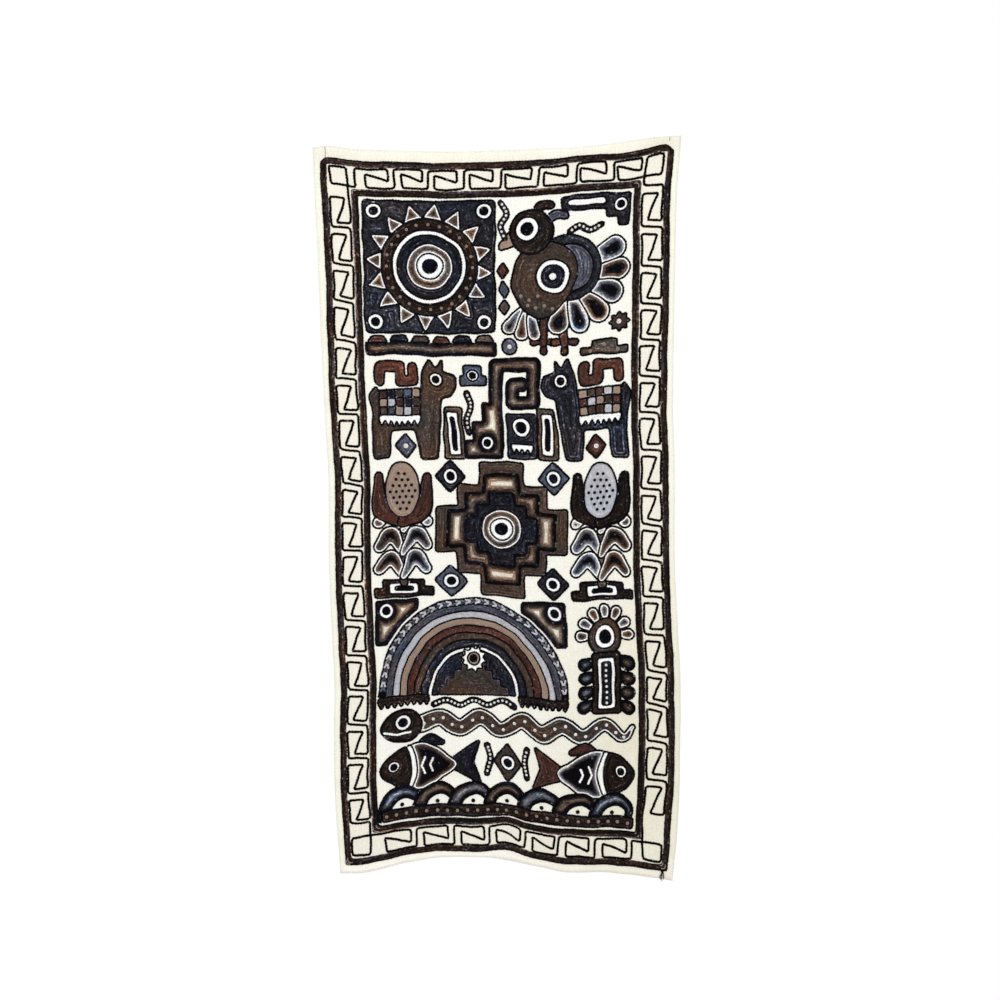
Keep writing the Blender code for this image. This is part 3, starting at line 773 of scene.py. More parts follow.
# How far a unit's tip and notch are across the strip, as parts of its height, and how far its foot leans.
TOP_TIP, TOP_NOTCH = 0.37, 0.75
HEM_TIP, HEM_NOTCH = 0.28, 0.75
FOOT_LEAN = 0.02
# How far down each Z of the left and of the right side starts, with the end of the last.
LEFT_HEADS = (
    0.124, 0.214, 0.3055, 0.3985, 0.4995, 0.592, 0.678, 0.7695, 0.8545,
    0.9385, 1.022, 1.112, 1.1975, 1.2875, 1.3745, 1.464, 1.5475, 1.6355, 1.709,
)
RIGHT_HEADS = (
    0.133, 0.2305, 0.326, 0.4175, 0.504, 0.5945, 0.6815, 0.774, 0.8715,
    0.959, 1.0485, 1.1375, 1.231, 1.322, 1.404, 1.499, 1.5935, 1.693,
)
# A Z's shape. Columns: its height and the line that crosses below it as parts of its length, and how much
# lower that line lies at its right end.
LEFT_SHAPE = (0.68, 0.80, 0.0010)
RIGHT_SHAPE = (0.67, 0.81, 0.0050)
# The share of this by which the Z's own level lines are lower there, and the line under the top right square.
Z_LEAN_SHARE = 0.6
FIRST_LEAN_SHARE = 0.4
Z_FOOT_END = 0.30
Z_HEAD_END = 0.76
# The right side's last run bows out, at this distance down.
LAST_RUN_BOW = 0.0050
LAST_RUN_AT = 1.665
# Rounding at the fret's open corners, at its tips and at its sharp turns.
WIDE_TURN = 0.0068
TIP_TURN = WIDE_TURN * 0.7
TIGHT_TURN = 0.0030
# How far the corner squares stray from true. Columns, each across and down: outer corner, corner on the end
# strip, corner on the side strip.
SQUARES = {
    "top_left": ((0.0020, 0.0010), (-0.0040, 0.0020), (0.0080, -0.0020)),
    "top_right": ((-0.0045, 0.0010), (0.0050, 0.0015), (-0.0085, -0.0020)),
    "hem_right": ((0.0005, -0.0035), (0.0018, -0.0050), (-0.0020, 0.0010)),
    "hem_left": ((0.0014, -0.0045), (-0.0010, -0.0045), (0.0010, -0.0010)),
}

side_out = CLOTH_WIDTH / 2 - SIDE_MARGIN - OUTER_BAND - SIDE_GAP
side_in = CLOTH_WIDTH / 2 - SIDE_MARGIN - OUTER_BAND - SIDE_STRIP + INNER_GAP
top_out = TOP_MARGIN + OUTER_BAND + TOP_GAP
top_in = TOP_MARGIN + OUTER_BAND + TOP_STRIP - INNER_GAP
hem_out = CLOTH_HEIGHT - HEM_MARGIN - OUTER_BAND - HEM_GAP
hem_in = CLOTH_HEIGHT - HEM_MARGIN - OUTER_BAND - HEM_STRIP + INNER_GAP


def level_units(units, last_end, tip_at, notch_at, near_rail, far_rail):
    """Units of the top and hem strips: each point is (across, down, rounding)."""
    height = far_rail - near_rail
    ends = [unit[0] for unit in units[1:]] + [last_end]
    route = []
    for (start, side_at, foot_at), end in zip(units, ends):
        length = end - start
        route += [
            (start, near_rail, WIDE_TURN),
            (start, far_rail, WIDE_TURN),
            (start + side_at * length, far_rail, WIDE_TURN),
            (start + side_at * length, near_rail + tip_at * height, TIP_TURN),
            (start + foot_at * length, near_rail + notch_at * height, TIGHT_TURN),
            (start + (foot_at + FOOT_LEAN) * length, near_rail, WIDE_TURN),
        ]
    return route


def upright_units(heads, shape, left_rail, right_rail):
    """Units of the side strips."""
    z_height, crossing_at, lean = shape
    width = right_rail - left_rail
    route = []
    for head, end in zip(heads, heads[1:]):
        foot = head + z_height * (end - head)
        crossing = head + crossing_at * (end - head)
        route += [
            (right_rail, foot + lean * Z_LEAN_SHARE, WIDE_TURN),
            (left_rail + Z_FOOT_END * width, foot, TIGHT_TURN),
            (left_rail + Z_HEAD_END * width, head + lean * Z_LEAN_SHARE, TIGHT_TURN),
            (left_rail, head, WIDE_TURN),
            (left_rail, crossing, WIDE_TURN),
            (right_rail, crossing + lean, WIDE_TURN),
        ]
    return route


def square(name):
    """A corner square's three open corners: on the side strip, outer, on the end strip."""
    hand = -1 if name.endswith("left") else 1
    out, into = (top_out, top_in) if name.startswith("top") else (hem_out, hem_in)
    outer, on_end, on_side = SQUARES[name]
    spots = ((hand * side_out, into, on_side), (hand * side_out, out, outer), (hand * side_in, out, on_end))
    return [(x + stray_x, y + stray_y, WIDE_TURN) for x, y, (stray_x, stray_y) in spots]


def fret_route():
    """The fret's one closed line, clockwise from the top left corner."""
    first_crossing = RIGHT_HEADS[0] - (1 - RIGHT_SHAPE[1]) * (RIGHT_HEADS[1] - RIGHT_HEADS[0])
    hem = level_units(HEM_UNITS, HEM_END, HEM_TIP, HEM_NOTCH, hem_out, hem_in)[2:]
    return np.array(
        [
            *level_units(TOP_UNITS, TOP_END, TOP_TIP, TOP_NOTCH, top_in, top_out),
            *square("top_right"),
            (side_in, first_crossing, WIDE_TURN),
            (side_out, first_crossing + RIGHT_SHAPE[2] * FIRST_LEAN_SHARE, WIDE_TURN),
            *upright_units(RIGHT_HEADS, RIGHT_SHAPE, side_in, side_out)[:-2],
            (side_in - LAST_RUN_BOW, LAST_RUN_AT, 3 * WIDE_TURN),
            *square("hem_right")[::-1],
            (HEM_END, hem_in, WIDE_TURN),
            (HEM_END, hem_out, WIDE_TURN),
            *hem[::-1],
            *square("hem_left"),
            *upright_units(LEFT_HEADS, LEFT_SHAPE, -side_out, -side_in)[::-1],
            *square("top_left")[::-1],
        ]
    )


def passing_over(line):
    """The lift at each point of a line that climbs over itself where it passes a crossing the second time."""
    lift = np.zeros(len(line))
    for crossing in ((-side_in, top_in), (side_in, top_in), (side_in, hem_in), (-side_in, hem_in)):
        gap = np.linalg.norm(line - crossing, axis=1)
        near = np.flatnonzero(gap < CROSSING_RAMP)
        run = np.split(near, np.flatnonzero(np.diff(near) > PASSES_APART) + 1)[-1]
        lift[run] = CROSSING_LIFT * np.cos(np.pi / 2 * gap[run] / CROSSING_RAMP) ** 2
    return lift


fret = new_work()
turns = fret_route()
line = spaced(rounded(turns[:, :2], turns[:, 2]), FRET_STEP)
add_row(fret, line, "warm_black", width=FRET_WIDTH, lift=passing_over(line), uneven=FRET_STRAY)
black_yarn = wool_yarn_material("black_wool_yarn")
fret_piece = stitched_piece("fret_line_row", fret, black_yarn, ["fret_line"])


# Inner band. Five rows of the same dark brown wool round the picture field, the innermost black, laid as
# the outer band is.
INNER_BAND = 0.0170
INNER_ROWS = ("band_light", "band_brown", "band_dark", "band_dark", "warm_black")
INNER_CORNERS = {
    "top_left": (0.0, 0.0, 0.0016, 0.0, 0.0004),
    "top_right": (0.0, 0.0, 0.0090, 0.0, -0.0012),
    "hem_right": (0.0, 0.0, 0.0020, 0.0, 0.0004),
    "hem_left": (0.0, 0.0, 0.0060, 0.0, 0.0016),
}
INNER_GAPS = (
    ("top_left", 1, 0.010), ("top_right", 2, 0.013), ("hem_left", 1, 0.012), ("hem_left", 3, 0.011),
    ("hem_right", 2, 0.006), ("hem_right", 4, 0.005),
)
strips = (SIDE_MARGIN + SIDE_STRIP, TOP_MARGIN + TOP_STRIP, HEM_MARGIN + HEM_STRIP)
inner_band_piece = make_band(
    "inner_band_rows", "inner_band", INNER_ROWS, strips, OUTER_BAND, INNER_BAND, INNER_CORNERS, INNER_GAPS
)


# Stitched field. Figures worked in coloured wool all over the cloth inside the bands, in five registers. Each
# shape has a row of black chain on its outline and further rows inside it, every one following the last, in
# one colour or shading from row to row. The drawing's sizes are in mm, across from the middle and down.
MM = 0.001
PITCH = 3.7
FILL_WIDTH = PITCH * 1.06
FIRST_ROW = 0.92
OUTLINE_WIDTH = 6.3
OUTLINE_HEIGHT = 0.0020
DETAIL_LIFT = 0.0009
# The shortest row inside an outline, and how clear of an upper shape, in mm, and for how many steps, an
# outline has to be to show.
SHORTEST_ROW = 7
CLEAR_OF_UPPER = 1.6
CLEAR_STEPS = 3
# The flat wool under the rows: its height, how far inside the outline it keeps, in mm, and in a shape that
# isn't filled, the part of a row by which it stops short of where the next row would be.
UNDER_HEIGHT = 0.0009
UNDER_INSIDE = 0.2
UNDER_SHORT = 0.8
# A knot, and its rings. Columns: radius as a part of the knot's, height.
KNOT_LIFT = 0.0010
KNOT_SIDES = 8
KNOT_RINGS = ((1.0, 0.0006), (0.62, 0.0016), (0.0, 0.0020))
# Knots that close a shape's middle, in rows: the knot's radius, the least hole, and how far apart they keep.
MIDDLE_KNOT = 0.5
LEAST_HOLE = 0.45
MIDDLES_APART = 2.2
# The grid on which rows are found, how many of its cells wide a wool patch under the rows is, how many are
# passed over in looking for a shape, and a distance beyond any shape.
GRID = 1.2
UNDER_CELLS = 3
WINDOW_CELLS = 7
FAR = 1e3
# Steps along a row, and along the outline from which the rows inside it are measured.
ROW_STEP = 2.2
OUTLINE_STEP = 3.0
# The field: left, top, right, hem.
FIELD = (-345.0, 113.0, 345.0, 1715.0)
# How far freehand drawing strays from true. Columns: radians a mm across and down, phase, mm across and down.
FREEHAND = ((0.021, 0.013, 0.4, 1.5, 1.2), (0.047, -0.036, 2.0, 0.9, -1.0), (-0.083, 0.095, 4.1, -0.6, 0.6))
# What a shape is filled with: its rows from the outline inwards, and whether the last goes on to the middle.
PLAIN = (
    "brown", "olive", "espresso", "rust", "tan", "charcoal", "slate", "light_grey", "navy", "black", "white",
)
STYLES = {
    **{dye: ((dye,), True) for dye in PLAIN},
    "brown_lip": (("white", "brown"), True),
    "brown_glow": (("white", "mid_tan", "brown", "espresso", "black"), True),
    "grey_glow": (("white", "grey", "slate", "charcoal", "black"), True),
    "brown_halo": (("black", "espresso", "brown", "mid_tan", "tan", "cream"), False),
    "grey_halo": (("black", "charcoal", "slate", "grey", "light_grey"), False),
}
# Which two edges of a grid cell a line joins, for each way its corners lie inside. Edges: 0 top, 1 right,
# 2 bottom, 3 left. Corners: 1 top left, 2 top right, 4 bottom right, 8 bottom left.
CELL_LINES = {
    1: ((3, 0),), 2: ((0, 1),), 3: ((3, 1),), 4: ((1, 2),), 5: ((3, 0), (1, 2)), 6: ((0, 2),),
    7: ((3, 2),), 8: ((2, 3),), 9: ((0, 2),), 10: ((0, 1), (2, 3)), 11: ((1, 2),), 12: ((1, 3),),
    13: ((0, 1),), 14: ((0, 3),),
}


def smooth_line(points, closed=True, steps=8):
    """The smooth line through points given by hand."""
    points = np.array(points, float)
    if closed:
        points = np.vstack([points[-1:], points, points[:2]])
    else:
        points = np.vstack([2 * points[0] - points[1], points, 2 * points[-1] - points[-2]])
    line = []
    for i in range(1, len(points) - 2):
        a, b, c, d = points[i - 1 : i + 3]
        bend, twist = 2 * a - 5 * b + 4 * c - d, 3 * b - a - 3 * c + d
        line += [0.5 * (2 * b + (c - a) * t + bend * t**2 + twist * t**3) for t in np.arange(steps) / steps]
    if not closed:
        line.append(points[-2])
    return np.array(line)


def distance_to(line, x, y, closed=True, half=0.0):
    """Distance from every place to a line, less its half width, which may be given for each point."""
    ends = np.roll(line, -1, axis=0) if closed else line[1:]
    starts = line if closed else line[:-1]
    halves = np.broadcast_to(np.asarray(half, float), len(line))
    half_ends = np.roll(halves, -1) if closed else halves[1:]
    best = np.full(x.shape, FAR)
    for (ax, ay), (bx, by), half_a, half_b in zip(starts, ends, halves, half_ends):
        run_x, run_y = bx - ax, by - ay
        length = max(run_x**2 + run_y**2, 1e-9)
        t = np.clip(((x - ax) * run_x + (y - ay) * run_y) / length, 0, 1)
        gap = np.hypot(x - ax - t * run_x, y - ay - t * run_y) - (half_a + (half_b - half_a) * t)
        np.minimum(best, gap, out=best)
    return best


def area_of(line):
    """The shape inside a closed line: how far each place is outside it, or less than nothing inside it."""

    def depth(x, y):
        inside = np.zeros(x.shape, bool)
        for (ax, ay), (bx, by) in zip(line, np.roll(line, -1, axis=0)):
            if ay != by:
                inside ^= ((ay > y) != (by > y)) & (x < (bx - ax) * (y - ay) / (by - ay) + ax)
        gap = distance_to(line, x, y)
        return np.where(inside, -gap, gap)

    return depth


def polygon(points, rounding):
    return area_of(rounded(points, rounding))


def box(left, top, right, bottom, rounding):
    return polygon([(left, top), (right, top), (right, bottom), (left, bottom)], rounding)


def lozenge(cx, cy, across, down, rounding):
    return polygon([(cx, cy - down), (cx + across, cy), (cx, cy + down), (cx - across, cy)], rounding)


def blob(points):
    return area_of(smooth_line(points, steps=6))


def bar(points, half):
    """A straight-sided band along a line; half is its half width, or several along it."""
    line = np.array(points, float)
    halves = np.interp(np.linspace(0, 1, len(line)), np.linspace(0, 1, np.size(half)), np.atleast_1d(half))
    return lambda x, y: distance_to(line, x, y, closed=False, half=halves)


def stroke(points, half):
    return bar(smooth_line(points, closed=False, steps=6), half)


def disc(cx, cy, radius, squash=1.0):
    return lambda x, y: np.hypot(x - cx, (y - cy) / squash) - radius


def ring(cx, cy, radius, inner, style="white"):
    """An eye or a boss: a ring with a black middle."""
    return [(disc(cx, cy, radius), style), (disc(cx, cy, inner), "black")]


def joined(shape, other):
    return lambda x, y: np.minimum(shape(x, y), other(x, y))


def clipped(shape, other):
    return lambda x, y: np.maximum(shape(x, y), other(x, y))


def cut_by(shape, other):
    return lambda x, y: np.maximum(shape(x, y), -other(x, y))


def moved(shape, across, down, flip=1.0, size=1.0):
    return lambda x, y: shape((x - across) / flip, (y - down) / size) * size


def figure(layers, dots=(), details=()):
    """A group of shapes, from the lowest to the uppermost: (shape, style), with knots: (places, colour,
    radius), and rows that lie over the shapes: (points, colour)."""
    return {"layers": layers, "dots": dots, "details": details}


def placed(drawn, across, down, mirror=False, size=1.0):
    """The same figure with its own corner at a place on the flat cloth."""
    flip = -size if mirror else size

    def put(points):
        return np.asarray(points, float) * (flip, size) + (across, down)

    return figure(
        [(moved(shape, across, down, flip, size), style) for shape, style in drawn["layers"]],
        [(put(points), dye, radius * size) for points, dye, radius in drawn["dots"]],
        [(put(points), dye) for points, dye in drawn["details"]],
    )


def freehand(x, y):
    """How far every place on the drawing is off."""
    off_x = off_y = 0.0
    for across, down, phase, reach_x, reach_y in FREEHAND:
        off_x = off_x + reach_x * np.sin(across * x + down * y + phase)
        off_y = off_y + reach_y * np.sin(down * x - across * y + phase * 1.7)
    return off_x, off_y


def drawn_at(points):
    """Points of a figure, in metres, after the freehand drawing has moved them."""
    points = np.asarray(points, float)
    return (points + np.stack(freehand(points[:, 0], points[:, 1]), axis=-1)) * MM


def contours(field, level, x0, y0):
    """The closed lines on which a gridded field passes a level."""
    f = np.pad(field, 1, constant_values=FAR) - level
    inside = f < 0
    rows, columns = f.shape
    case = inside[:-1, :-1] + 2 * inside[:-1, 1:] + 4 * inside[1:, 1:] + 8 * inside[1:, :-1]
    i, j = np.nonzero((case > 0) & (case < 15))
    upright = rows * columns
    level_at = i * columns + j
    edges = np.stack([level_at, upright + level_at + 1, level_at + columns, upright + level_at])
    links = {}
    for kind, edge in zip(case[i, j].tolist(), edges.T.tolist()):
        for a, b in CELL_LINES[kind]:
            links.setdefault(edge[a], []).append(edge[b])
            links.setdefault(edge[b], []).append(edge[a])
    lines = []
    while links:
        start = before = next(iter(links))
        loop = [start]
        here = links.pop(start)[0]
        while here != start:
            loop.append(here)
            ways = links.pop(here)
            here, before = (ways[1] if ways[0] == before else ways[0]), here
        loop = np.array(loop)
        standing = loop >= upright
        spot = loop - upright * standing
        row, column = spot // columns, spot % columns
        near = f[row, column]
        t = near / (near - f[row + standing, column + ~standing])
        x, y = (column - 1 + t * ~standing) * GRID + x0, (row - 1 + t * standing) * GRID + y0
        lines.append(np.stack([x, y], axis=-1))
    return lines


def eased(line, step=ROW_STEP):
    """A closed contour with evenly spaced points and its grid steps smoothed away, and its length."""
    closed = np.vstack([line, line[:1]])
    reach = distances(closed)
    count = max(5, round(reach[-1] / step))
    line = points_at(closed, reach, np.arange(count) / count * reach[-1])
    return (np.roll(line, 1, axis=0) + 2 * line + np.roll(line, -1, axis=0)) / 4, reach[-1]


def clear_runs(line, covered, x0, y0):
    """The parts of a closed line that no upper shape covers: (line, closed)."""
    column = np.clip(np.round((line[:, 0] - x0) / GRID).astype(int), 0, covered.shape[1] - 1)
    row = np.clip(np.round((line[:, 1] - y0) / GRID).astype(int), 0, covered.shape[0] - 1)
    free = covered[row, column] > CLEAR_OF_UPPER
    if free.all():
        return [(line, True)]
    turn = int(np.flatnonzero(~free)[0])
    line, free = np.roll(line, -turn, axis=0), np.roll(free, -turn)
    edges = np.flatnonzero(np.diff(np.concatenate([[0], free.astype(int), [0]])))
    runs = [(a, b) for a, b in zip(edges[::2], edges[1::2]) if b - a > CLEAR_STEPS]
    return [(line[max(a - 1, 0) : b + 1], False) for a, b in runs]


def window(shape, x, y):
    """The part of the grid that a shape reaches."""
    cells = WINDOW_CELLS
    i, j = np.nonzero(shape(x[::cells, ::cells], y[::cells, ::cells]) < cells * GRID + 2)
    down = slice(max(i.min() * cells - cells, 0), i.max() * cells + cells + 1)
    return down, slice(max(j.min() * cells - cells, 0), j.max() * cells + cells + 1)


def knot_at(spot, radius, dye, lift=0.0):
    """A small round knot: a low dome of two rings and a crown."""
    turn = np.linspace(0, 2 * math.pi, KNOT_SIDES, endpoint=False)
    rim = np.stack([np.cos(turn), np.sin(turn)], axis=-1)
    shares, tall = zip(*KNOT_RINGS)
    places = np.vstack([spot + rim * radius * shares[0], spot + rim * radius * shares[1], [spot]])
    heights = lift + np.repeat(tall, [KNOT_SIDES, KNOT_SIDES, 1])
    here = np.arange(KNOT_SIDES)
    there = np.roll(here, -1)
    sides = np.stack([there, there + KNOT_SIDES, here + KNOT_SIDES, here], axis=-1)
    crown = here[::2]
    top = np.stack([np.full(len(crown), KNOT_SIDES), np.roll(here, -2)[::2], there[::2], crown], axis=-1)
    faces = np.vstack([sides, top + KNOT_SIDES])
    return places, heights, faces, np.tile(np.array(DYES[dye]), (len(places), 1))


def close_middles(work, depth, x, y, dye):
    """A knot wherever a shape's rows leave a hole in its middle."""
    middle = depth[1:-1, 1:-1]
    around = np.maximum.reduce([depth[:-2, 1:-1], depth[2:, 1:-1], depth[1:-1, :-2], depth[1:-1, 2:]])
    hole = (middle >= around) & ((middle / PITCH - FIRST_ROW) % 1 > LEAST_HOLE)
    hole &= middle > PITCH * MIDDLE_KNOT
    spots = []
    for i, j in zip(*np.nonzero(hole)):
        spot = np.array([x[0, j + 1], y[i + 1, 0]])
        if all(np.hypot(*(other - spot)) > PITCH * MIDDLES_APART for other in spots):
            spots.append(spot)
            work["knots"].append(knot_at(spot * MM, PITCH * MIDDLE_KNOT * MM, dye))


def add_wool_under(work, depth, x, y, dyes, filled):
    """Flat wool under a shape's rows, in the colour of the row over it, so that no cloth shows through."""
    d = depth[::UNDER_CELLS, ::UNDER_CELLS]
    deep = np.minimum(np.minimum(d[:-1, :-1], d[1:, :-1]), np.minimum(d[:-1, 1:], d[1:, 1:])) > UNDER_INSIDE
    if not filled:
        deep &= np.maximum(d[:-1, :-1], d[1:, 1:]) < (FIRST_ROW + len(dyes) - UNDER_SHORT) * PITCH
    i, j = np.nonzero(deep)
    i = np.stack([i, i + 1, i + 1, i], axis=-1)
    j = np.stack([j, j, j + 1, j + 1], axis=-1)
    number = np.clip(np.round(d[i, j] / PITCH - FIRST_ROW).astype(int), 0, len(dyes) - 1)
    colours = np.array([DYES[dye] for dye in dyes])[number].reshape(-1, 3)
    spots = np.stack([x[0, ::UNDER_CELLS][j], y[::UNDER_CELLS, 0][i]], axis=-1).reshape(-1, 2)
    faces = np.arange(len(spots)).reshape(-1, 4)
    work["under"].append((by_hand(spots * MM), np.full(len(spots), UNDER_HEIGHT), faces, colours))


def fill_rows(work, seen, x, y, low, dyes, filled):
    """Rows one inside the other over the visible part of a shape, the wool under them and knots in gaps."""
    inner = seen < 0
    gap = np.full(int(inner.sum()), FAR)
    for line in contours(seen, 0.0, *low):
        np.minimum(gap, distance_to(eased(line, OUTLINE_STEP)[0], x[inner], y[inner]), out=gap)
    depth = np.zeros(x.shape)
    depth[inner] = gap
    number = 0
    while (FIRST_ROW + number) * PITCH < gap.max() and (filled or number < len(dyes)):
        for line in contours(-depth, -(FIRST_ROW + number) * PITCH, *low):
            line, length = eased(line)
            if length > SHORTEST_ROW:
                add_row(work, line * MM, dyes[min(number, len(dyes) - 1)], width=FILL_WIDTH * MM)
        number += 1
    if filled:
        close_middles(work, depth, x, y, dyes[-1])
    add_wool_under(work, depth, x, y, dyes, filled)


def sew_field(name, *figures):
    """Sews figures as one piece. An upper shape hides what lies under it, so no row crosses another."""
    left, top, right, hem = FIELD
    x, y = np.meshgrid(np.arange(left, right, GRID), np.arange(top, hem, GRID))
    off_x, off_y = freehand(x, y)
    drawn_x, drawn_y = x - off_x, y - off_y
    covered = np.full(x.shape, FAR)
    work = new_work()
    for shape, style in reversed([layer for drawn in figures for layer in drawn["layers"]]):
        part = window(shape, drawn_x, drawn_y)
        near_x, near_y = x[part], y[part]
        low = near_x[0, 0], near_y[0, 0]
        own = shape(drawn_x[part], drawn_y[part])
        for line in contours(own, 0.0, *low):
            for run, closed in clear_runs(eased(line)[0], covered[part], *low):
                add_row(work, run * MM, "black", closed, OUTLINE_WIDTH * MM, height=OUTLINE_HEIGHT)
        seen = np.maximum(own, -covered[part])
        if (seen < 0).any():
            fill_rows(work, seen, near_x, near_y, low, *STYLES[style])
        np.minimum(covered[part], own, out=covered[part])
    for drawn in figures:
        for points, dye in drawn["details"]:
            add_row(work, drawn_at(points), dye, False, OUTLINE_WIDTH * MM, DETAIL_LIFT)
        for points, dye, radius in drawn["dots"]:
            work["knots"] += [knot_at(spot, radius * MM, dye, KNOT_LIFT) for spot in drawn_at(points)]
    stitched_piece(name, work, field_yarn)


field_yarn = wool_yarn_material("coloured_wool_yarn")


# Field, top register. A sun of rings with pointed rays on a dark square over a stepped bar, and to its right
# a large bird with spread wing feathers under a hooked cloud, with diamonds, beaded cords and a small hill.
def polar(cx, cy, radius, degrees):
    return (cx + radius * math.cos(math.radians(degrees)), cy + radius * math.sin(math.radians(degrees)))


def star(cx, cy, points, outer, inner, turn=0.0):
    rim = []
    for k in range(points):
        rim.append(polar(cx, cy, outer, turn + k * 360 / points))
        rim.append(polar(cx, cy, inner, turn + (k + 0.5) * 360 / points))
    return rim


def fan(cx, cy, from_reach, reach, start, end, count, half, styles):
    """Round-ended feathers spread from one place."""
    layers = []
    for k in range(count):
        degrees = start + (end - start) * k / (count - 1)
        ends = [polar(cx, cy, from_reach, degrees), polar(cx, cy, reach, degrees)]
        layers.append((bar(ends, (half * 0.45, half)), styles[k % len(styles)]))
    return layers


def stepped(left, right, base, step_across, step_up, steps):
    """The outline of a stepped hill."""
    points = []
    for k in range(steps):
        x = left + k * step_across
        points += [(x, base - k * step_up), (x, base - (k + 1) * step_up)]
    return points + [(left + right - x, y) for x, y in points[::-1]]


BEAD_STEP = 10.5


def beaded(points):
    """A dark cord with a line of white beads along it."""
    line = smooth_line(points, closed=False)
    reach = distances(line)
    beads = points_at(line, reach, np.arange(BEAD_STEP * 0.6, reach[-1] - 3, BEAD_STEP))
    return figure([(stroke(points, 6.0), "espresso")], [(beads, "white", 3.3)])


def sun():
    layers = [(box(0, 0, 330, 330, 10), "charcoal")]
    for x, y in ((27, 27), (303, 27), (27, 303), (303, 303)):
        layers += ring(x, y, 20, 10)
    layers.append((polygon(star(165, 165, 16, 166, 122, 6), 6), "brown_glow"))
    for radius, style in ((121, "espresso"), (92, "white"), (80, "navy"), (58, "brown_glow")):
        layers.append((disc(165, 165, radius), style))
    beads = [polar(165, 165, 106.5, a) for a in range(0, 360, 15)]
    return figure(layers + ring(165, 165, 33, 18), [(beads, "tan", 4.0)])


def big_bird():
    body = [
        (62, 96), (112, 82), (168, 102), (190, 150), (168, 216), (112, 268), (58, 256), (28, 200), (36, 140),
    ]
    speckles = [(50, 216), (70, 226), (90, 216), (66, 240), (86, 246), (106, 240), (126, 246)]
    return figure(
        [
            *fan(104, 328, 0, 27, 10, 170, 3, 9, ("rust",)),
            *fan(160, 328, 0, 27, 10, 170, 3, 9, ("rust",)),
            (bar([(108, 262), (104, 334)], 10), "rust"),
            (bar([(150, 262), (160, 334)], 10), "rust"),
            *fan(166, 158, 30, 130, 100, -22, 6, 27, ("brown_glow", "grey_glow")),
            (disc(170, 148, 80), "charcoal"),
            (disc(172, 148, 58), "slate"),
            *fan(70, 230, 0, 82, 128, 82, 3, 18, ("grey_glow", "brown_glow")),
            (blob(body), "brown"),
            (disc(128, 168, 42), "white"),
            (disc(128, 168, 29), "navy"),
            (disc(128, 168, 12), "white"),
            (polygon([(44, 26), (46, 86), (-2, 102), (-6, 84)], 5), "tan"),
            (stroke([(84, 22), (98, -2), (126, -6)], (9, 11, 8)), "espresso"),
            (stroke([(108, 40), (136, 20), (160, 24)], (9, 12, 8)), "slate"),
            (disc(76, 58, 54), "espresso"),
            *ring(66, 50, 29, 15),
        ],
        [(speckles, "tan", 4.4)],
    )


def hanging_diamonds():
    strung = ((0, "rust"), (46, "slate"), (92, "brown"))
    return figure([(lozenge(0, y, 14, 22, 3), style) for y, style in strung])


def low_hill():
    knots = [(24, 41), (59, 28), (94, 41)]
    return figure([(polygon(stepped(0, 118, 50, 27, 18, 2), 3), "olive")], [(knots, "tan", 4.6)])


def ground_bar():
    layers = [(box(0, 12, 332, 46, 8), "brown_halo")]
    for k in range(6):
        x = 55 * k
        step = polygon([(4 + x, 14), (14 + x, -2), (43 + x, -2), (53 + x, 14)], 2)
        layers.append((step, ("rust", "navy", "olive")[k % 3]))
    return figure(layers)


def stepped_cloud():
    """A stepped cloud with a hooked end."""
    outline = [(-58, 0), (112, 0), (112, 80), (84, 80), (84, 56), (52, 56), (52, 34), (-58, 34)]
    slit = bar([(-36, 17), (42, 17)], 8)
    return figure([(polygon(outline, 7), "charcoal"), (slit, "white"), *ring(88, 27, 18, 9)])


sew_field(
    "field_top_register",
    placed(sun(), -334, 124),
    placed(ground_bar(), -336, 464),
    placed(stepped_cloud(), 222, 123),
    placed(hanging_diamonds(), 18, 300),
    placed(big_bird(), 12, 146),
    beaded([(12, 130), (26, 160), (10, 190), (20, 216)]),
    beaded([(184, 208), (208, 194), (234, 206), (262, 196)]),
    placed(figure([(disc(0, 0, 19), "slate")], [([(0, 0)], "white", 5.5)]), 30, 488),
    placed(figure([(polygon(star(0, 0, 8, 27, 16), 3), "brown")], [([(0, 0)], "white", 6.0)]), 309, 437),
    placed(low_hill(), 213, 464),
)


# Field, second register. Two llamas with chequered cloths face a stepped hill with a hooked fret; hooked
# clouds stand over their backs and diamonds under them.
PATCH = 21.5
PATCH_COLUMNS, PATCH_ROWS = 5, 3
PATCHES = ("tan", "slate", "brown", "charcoal", "rust", "light_grey")


def toothed(left, top, width, teeth, height, thick):
    """A bar with a row of teeth below it."""
    pitch = width / teeth
    points = [(left, top), (left + width, top)]
    for k in range(teeth, 0, -1):
        points += [(left + k * pitch, top + thick), (left + (k - 0.5) * pitch, top + thick + height)]
    return polygon(points + [(left, top + thick)], 1.5)


def chequer(left, top, styles):
    """Small patches, each outlined in black, and the places where they meet."""
    layers, meetings = [], []
    for i in range(PATCH_ROWS + 1):
        for j in range(PATCH_COLUMNS + 1):
            x, y = left + j * PATCH, top + i * PATCH
            meetings.append((x, y))
            if i < PATCH_ROWS and j < PATCH_COLUMNS:
                layers.append((box(x, y, x + PATCH, y + PATCH, 1), styles[(i * 2 + j) % len(styles)]))
    return layers, meetings


